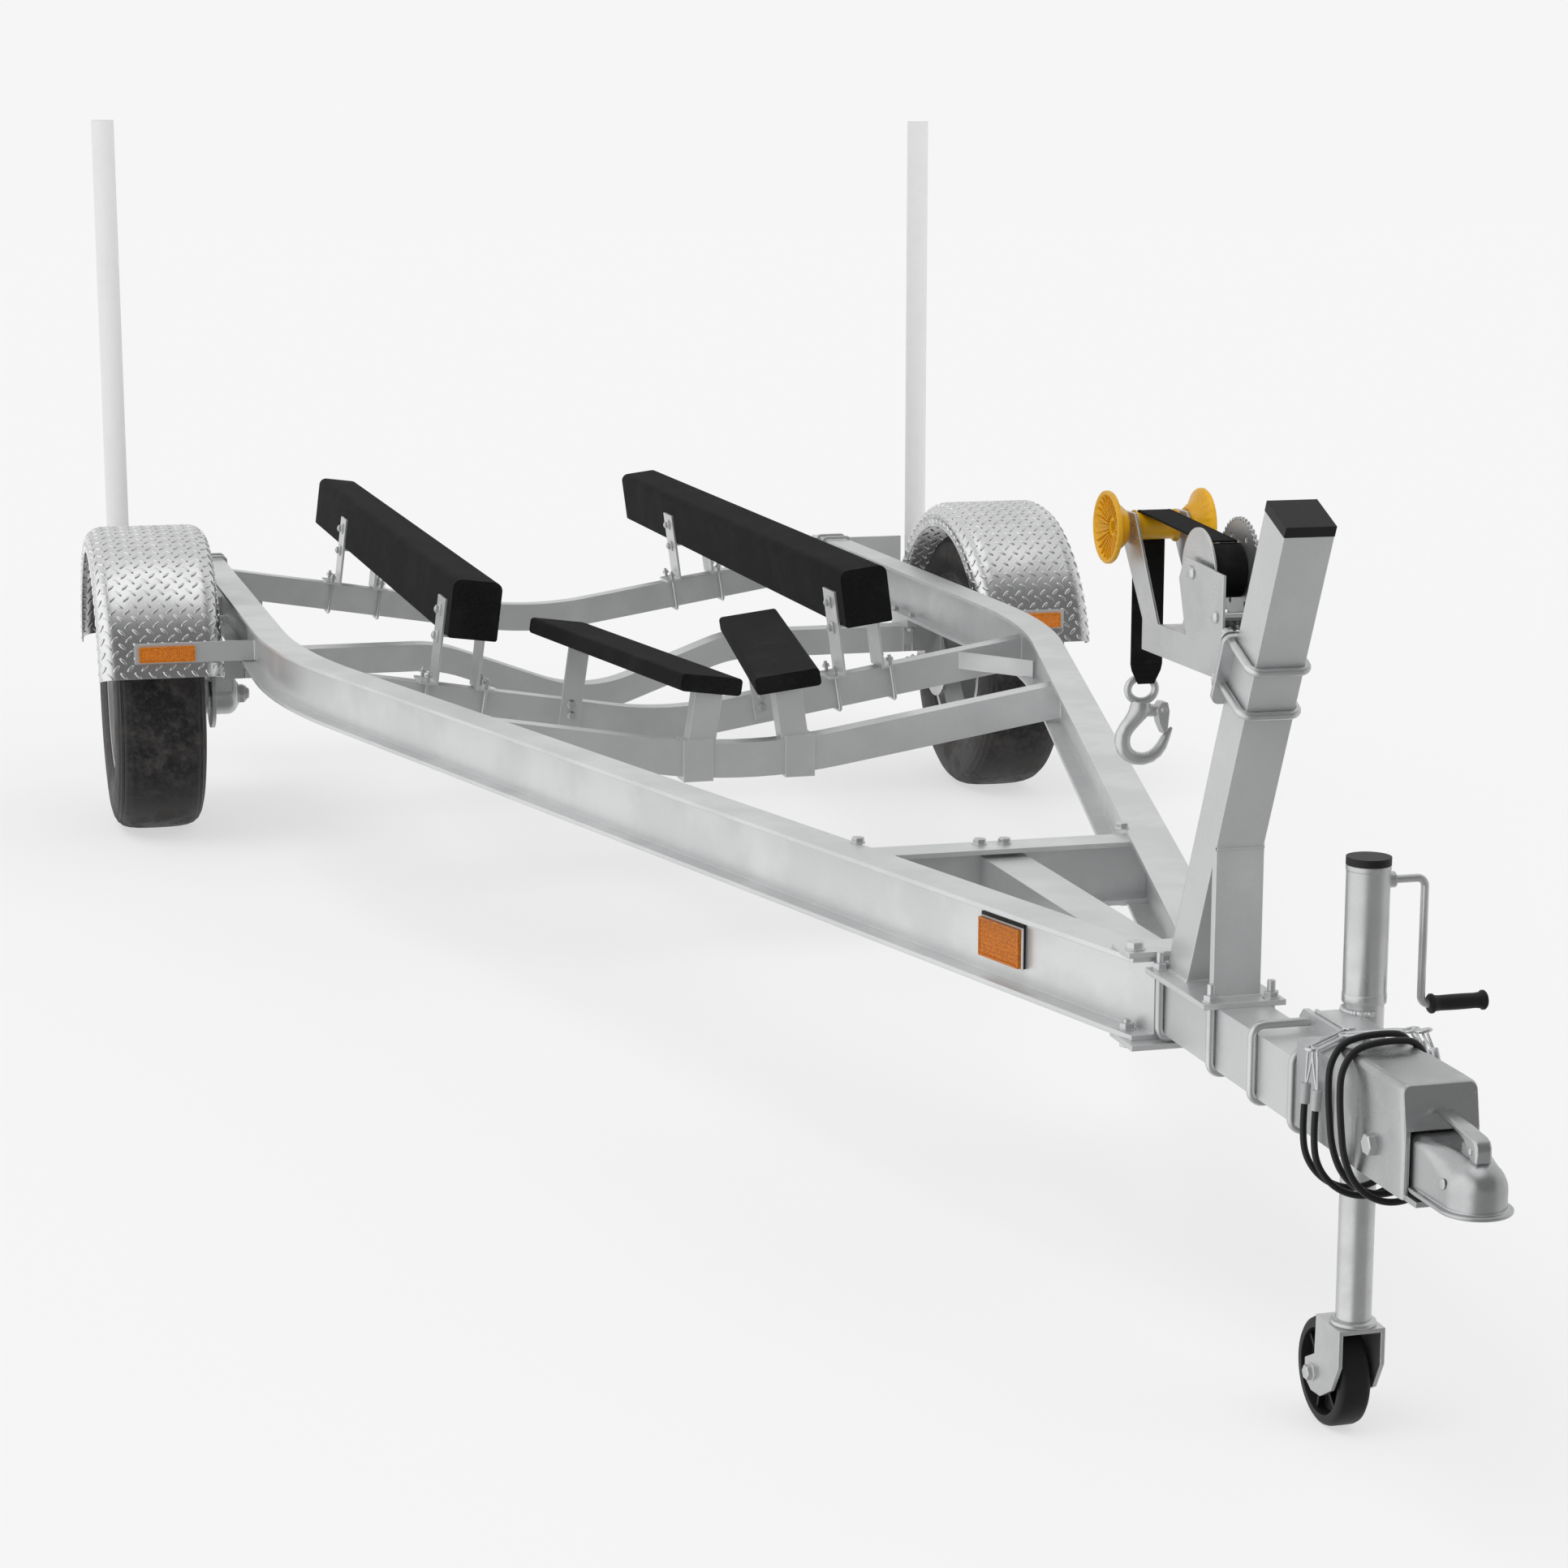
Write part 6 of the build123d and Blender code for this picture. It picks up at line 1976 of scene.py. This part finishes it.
@dataclass
class Jack(Section):
    """Swivel jack: tube, leg, caster and crank."""

    station: float = 4.646
    offset: float = 0.109
    tube_radius: float = 0.0295
    # Columns: low end, high end, how far the rim stands out
    rims: tuple[Triple, ...] = ((0.617, 0.63, 0.0007), (0.797, 0.805, 0.0008))
    # Columns: the bead's start, its end, its radius, its ripple
    beads: tuple[tuple[Triple, Triple, float, int], ...] = (
        ((4.664, 0.0925, 0.606), (4.678, 0.0925, 0.606), 0.0034, 3),
        ((4.664, 0.105, 0.606), (4.678, 0.105, 0.606), 0.0034, 3),
        ((4.632, 0.0465, 0.522), (4.632, 0.0465, 0.603), 0.0026, 9),
        ((4.745, 0.0465, 0.522), (4.745, 0.0465, 0.603), 0.0026, 9),
        ((4.632, 0.0465, 0.6045), (4.745, 0.0465, 0.6045), 0.0026, 5),
    )
    grip_z: float = 0.607
    grip_start: float = 0.204
    grip_end: float = 0.287
    caster_trail: float = 0.056
    caster_half: float = 0.0224
    caster_spokes: int = 6

    def build_tube(self) -> None:
        """Makes the tube's rims and the welds under it."""
        rims = Shaper("jack_rims")
        foot = self.at(self.station, self.offset, 0)
        for low, high, reach in self.rims:
            # Columns: height, growth outside the tube
            section = (
                (low, -0.0005), (low, reach * 0.6), (low + 0.002, reach), (high - 0.002, reach),
                (high, reach * 0.6), (high, -0.0005),
            )
            outline = [(height, self.tube_radius + growth) for height, growth in section]
            rims.lathe(outline, foot, Z_AXIS, 56, closed=True)
        rims.object("zinc")
        welds = Shaper("jack_welds")
        centre = (self.station, self.offset)
        bead_radius, bead_z = 0.028, 0.606
        ring = [self.at(x, y, bead_z) for x, y in arc(centre, bead_radius, 185, 365, 30)]
        welds.weld(ring, 0.004, 7)
        for start, end, radius, seed in self.beads:
            welds.weld(self.along(start, end), radius, seed)
        welds.object("galvanised")

    def build_pin(self) -> None:
        """Makes the spring pin that locks the swivel."""
        pin = Shaper("swivel_pin")
        foot = self.at(4.745, 0.066, 0.59)
        pin.disc(foot, X_AXIS, 0.009, 0.012, 28)
        pin.disc(foot + X_AXIS * 0.012, X_AXIS, 0.006, 0.012)
        radius = 0.012
        ring = [
            foot + X_AXIS * (0.02 + 0.0001 * k) + spin(t, Y_AXIS, Z_AXIS) * radius - Z_AXIS * radius
            for k, t in enumerate(turns(30)[:29])
        ]
        pin.tube(ring, 0.0014, 8)
        pin.object("zinc")

    def build_grip(self) -> None:
        """Makes the crank's grip with a flange at each end."""
        grip = Shaper("handle_grip")
        length = self.grip_end - self.grip_start
        # Columns: distance from the end, radius
        flange = ((0.0, 0.0118), (0.002, 0.0136), (0.005, 0.0136), (0.0075, 0.0112))
        outline = [(0.0, 0.0058), *flange]
        for share in (step / 8 for step in range(1, 8)):
            belly = 0.0103 + 0.0006 * sin(pi * share)
            outline.append((0.0075 + (length - 0.015) * share, belly))
        outline += [(length - along, radius) for along, radius in reversed(flange)]
        outline.append((length, 0.0001))
        foot = self.at(self.station, self.grip_start, self.grip_z)
        grip.lathe(outline, foot, Y_AXIS, 40)
        grip.object("black_plastic", ["crank_grip"], Body.CRANK, smooth_angle=50)

    def build_caster(self) -> None:
        """Makes the caster's tyre with its spoked hub, and the nuts on its axle."""
        hub = self.at(self.station - self.caster_trail, self.offset, 0.076)
        tyre = Shaper("caster_tyre")
        half = self.caster_half
        side = [
            (0.0, 0.0762), (half - 0.008, 0.076), (half - 0.003, 0.0742), (half, 0.07),
            (half, 0.0605), (0.0075, 0.0565), (0.0062, 0.03), (0.0062, 0.019), (half, 0.0165),
            (half + 0.0022, 0.0155), (half + 0.0022, 0.0074),
        ]
        outline = side + [(-along, radius) for along, radius in reversed(side[1:])]
        tyre.lathe(outline, hub, Y_AXIS, 72, closed=True)
        spoke = ((0.016, -0.0025), (0.058, -0.0025), (0.058, 0.0025), (0.016, 0.0025))
        for angle in (turn + 0.3 for turn in turns(self.caster_spokes)):
            out, turn = spin(angle), spin(angle, Z_AXIS, -X_AXIS)
            ring = [hub + out * reach + turn * w - Y_AXIS * 0.018 for reach, w in spoke]
            tyre.prism(ring, Y_AXIS * 0.036)
        tyre.object("black_plastic", ["caster_wheel"], Body.CASTER, smooth_angle=40)
        nuts = Shaper("caster_nuts")
        for out in (Y_AXIS, -Y_AXIS):
            seat = hub + out * 0.034
            nuts.disc(seat, out, 0.013, 0.0018, 28)
            nuts.hexagon(seat + out * 0.0018, out, 0.019, 0.008)
        seal = (
            (0, 0.0243), (0, 0.031), (0.002, 0.032), (0.006, 0.031), (0.009, 0.025), (0.009, 0.0243)
        )
        nuts.lathe(seal, self.at(self.station, self.offset, 0.164), Z_AXIS, 48, closed=True)
        nuts.object("zinc", body=Body.JACK_LEG)

    def build(self, frame: dict) -> None:
        """Dresses the jack and adds its small pieces."""
        dress(frame, "zinc", "jack_tube", "jack_leg", "jack_crank")
        dress(frame, "galvanised", "jack_bracket")
        self.build_tube()
        self.build_pin()
        self.build_grip()
        self.build_caster()


# ---- coupler


@dataclass
class Coupler(Section):
    """Pressed and cast coupler: housing skin, ball head, lever and bolts."""

    half: float = 0.0485
    rear: float = 4.905
    front: float = 5.106
    bottom: float = 0.497
    top: float = 0.636
    edge: float = 0.01
    lean: float = 0.01
    lean_start: float = 0.582
    ball: float = 5.196
    lip_z: float = 0.509
    lip_radius: float = 0.0455
    lip_back: float = 0.088
    socket_radius: float = 0.0259
    socket_depth: float = 0.026
    dome_top: float = 0.573
    lever_half: float = 0.0105
    trigger_half: float = 0.0065
    # Columns: distance from the ball, half width, top, corner radius
    head_sections: tuple[tuple[float, float, float, float], ...] = (
        (-0.134, 0.0392, 0.5775, 0.012), (-0.088, 0.0392, 0.5778, 0.012),
        (-0.066, 0.039, 0.5782, 0.013), (-0.052, 0.0388, 0.5782, 0.017),
        (-0.038, 0.0386, 0.5778, 0.023), (-0.024, 0.0384, 0.5768, 0.029),
        (-0.01, 0.0382, 0.5752, 0.035), (0.000, 0.038, 0.5738, 0.0378),
        (0.008, 0.0371, 0.5728, 0.037), (0.016, 0.0345, 0.5702, 0.0343),
        (0.023, 0.0303, 0.566, 0.0301), (0.029, 0.0246, 0.5615, 0.0244),
        (0.0335, 0.0179, 0.5555, 0.015), (0.0365, 0.0105, 0.548, 0.0085),
        (0.0378, 0.004, 0.541, 0.003),
    )
    # Columns of the lever and the trigger: distance ahead of the ball, height above the dome
    lever: tuple[Pair, ...] = (
        (-0.088, 0.03), (-0.087, 0.036), (-0.04, 0.032), (0.006, 0.0275),
        (0.0145, 0.024), (0.0185, 0.0175), (0.019, 0.008), (0.0185, -0.0035),
        (0.004, -0.0035), (-0.004, 0.002), (-0.01, 0.01), (-0.015, 0.016),
        (-0.028, 0.0205), (-0.06, 0.0265),
    )
    trigger: tuple[Pair, ...] = (
        (-0.028, 0.002), (-0.028, 0.012), (-0.021, 0.0175), (-0.014, 0.014), (-0.006, 0.001),
    )

    def arch(self, half: float, heights: Triple, corner: float, steps: int) -> list[Pair]:
        """An open outline from the right foot over two round corners to the left foot.

        Args:
            half: half of its width.
            heights: of its feet, of a point part of the way up its sides, and of its top.
            corner: the corners' radius.
            steps: flats in each corner.

        Returns:
            Pairs of Y and Z.
        """
        low, middle, top = heights
        curve = arc((-half + corner, top - corner), corner, 180, 90, steps)
        curve += arc((half - corner, top - corner), corner, 90, 0, steps)
        return [(-half, low), (-half, middle), *curve, (half, middle), (half, low)]

    def ring(self, station: float, grow: float, lean: float) -> list[Vector]:
        """One section of the housing's skin.

        Args:
            station: where it stands at its foot.
            grow: how far outside the solid it lies.
            lean: how far its top leans back.

        Returns:
            Points from the right foot over the top to the left foot.
        """
        half, top = self.half + grow, self.top + grow
        side = self.arch(half, (self.bottom, (self.bottom + top) / 2, top), self.edge, 6)
        rise = top - self.lean_start
        return [
            self.at(station - lean * max(0.0, (z - self.lean_start) / rise), y, z) for y, z in side
        ]

    def build_housing(self) -> None:
        """Makes the housing's skin with a rounded front edge and a creased side."""
        skin = Shaper("housing_skin")
        # Columns: station, growth, lean
        sections = (
            (self.rear + 0.0005, 0.0008, 0.0), (4.96, 0.0008, 0.0), (4.967, 0.0013, 0.0),
            (4.974, 0.002, 0.0), (self.front - 0.04, 0.002, 0.005),
            (self.front - 0.0065, 0.0017, self.lean), (self.front - 0.0022, 0.0006, self.lean),
            (self.front + 0.0002, -0.0016, self.lean), (self.front + 0.0008, -0.005, self.lean),
        )
        skin.sheet([self.ring(*row) for row in sections])
        skin.object("coupler_zinc", smooth_angle=55)

    def build_head(self) -> None:
        """Makes the cast head: neck, dome, rim and the ball's socket."""
        head = Shaper("ball_head")
        low = self.lip_z + 0.003
        rings = []
        for run, half, top, corner in self.head_sections:
            side = self.arch(half, (low, (low + top - corner) / 2, top), corner, 9)
            rings.append([self.at(self.ball + run, y, z) for y, z in side])
        head.sheet(rings)
        head.cap(rings[-1])
        centre = self.at(self.ball, 0, self.lip_z)
        socket = self.socket_radius
        rim = []
        for x, y in ((cos(angle), sin(angle)) for angle in turns(96)):
            reach = self.lip_radius
            if x < 0:
                reach = min(reach / max(abs(y), 1e-6), self.lip_back / -x)
            # Columns: radius, height over the lip
            section = (
                (socket, 0), (reach - 0.001, 0), (reach, 0.0012), (reach, 0.004),
                (reach - 0.0015, 0.0052), (socket + 0.006, 0.006), (socket + 0.001, 0.006),
            )
            spoke = X_AXIS * x + Y_AXIS * y
            rim.append([centre + spoke * radius + Z_AXIS * height for radius, height in section])
        head.sheet(rim, wrap_rows=True)
        depth = self.socket_depth
        bore = [(0.0, socket), (depth, socket)]
        for angle in (radians(step) for step in range(10, 90, 10)):
            bore.append((depth + socket * sin(angle), socket * cos(angle)))
        head.lathe([*bore, (depth + socket, 0.0001)], centre, Z_AXIS, 64)
        head.object("coupler_zinc", ["coupler_head"], smooth_angle=50)

    def on_dome(self, outline: Sequence[Pair], half: float) -> list[Vector]:
        """An outline's points on the right side of a plate that stands on the dome."""
        return [self.at(self.ball + x, -half, self.dome_top + z) for x, z in outline]

    def build_lever(self) -> None:
        """Makes the latch lever and the trigger behind it."""
        lever = Shaper("latch_handle")
        lever.prism(self.on_dome(self.lever, self.lever_half), Y_AXIS * self.lever_half * 2)
        lever.object("coupler_zinc", ["latch_lever"], bevel=0.003, smooth_angle=40)
        trigger = Shaper("latch_trigger")
        points = self.on_dome(self.trigger, self.trigger_half)
        trigger.prism(points, Y_AXIS * self.trigger_half * 2)
        trigger.object("zinc", bevel=0.0015)

    def build_fixings(self) -> None:
        """Makes the housing's cross bolt and the rivets."""
        fixings = Shaper("coupler_bolts")
        for side, _ in SIDES:
            out = Y_AXIS * side
            foot = self.at(5.02, side * (self.half + 0.0018), 0.542)
            fixings.hexagon(foot, out, 0.0245, 0.01)
            for station, y, z, radius in ((5.188, 0.0383, 0.542, 0.007), (5.2, 0.0104, 0.583, 0.005)):
                rivet = [(0, radius), (0.0012, radius * 0.97), (0.0022, radius * 0.8), (0.0024, 0.0001)]
                fixings.lathe(rivet, self.at(station, side * y, z), out, 24)
        fixings.object("zinc")

    def build(self, frame: dict) -> None:
        """Dresses the coupler and adds its skin, head and lever."""
        dress(frame, "coupler_zinc", "coupler_housing")
        dress(frame, "ferrule", "cable_ferrules")
        self.build_housing()
        self.build_head()
        self.build_lever()
        self.build_fixings()


# ---- scene


def main() -> None:
    """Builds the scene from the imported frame."""
    logging.basicConfig(level=logging.INFO, format="%(name)s: %(message)s")
    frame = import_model()
    low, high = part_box("tyre_left")
    layout = Layout(axle_x=(low[0] + high[0]) / 2)
    Studio(layout).build()
    SafetyCables(layout).build()
    for part in (
        Chassis, RunningGear, Fenders, Bunks, Lamps, GuidePoles, WinchStand, Winch, BowRoller,
        BowHook, Jack, Coupler,
    ):
        part(layout).build(frame)


if __name__ == "__main__":
    main()
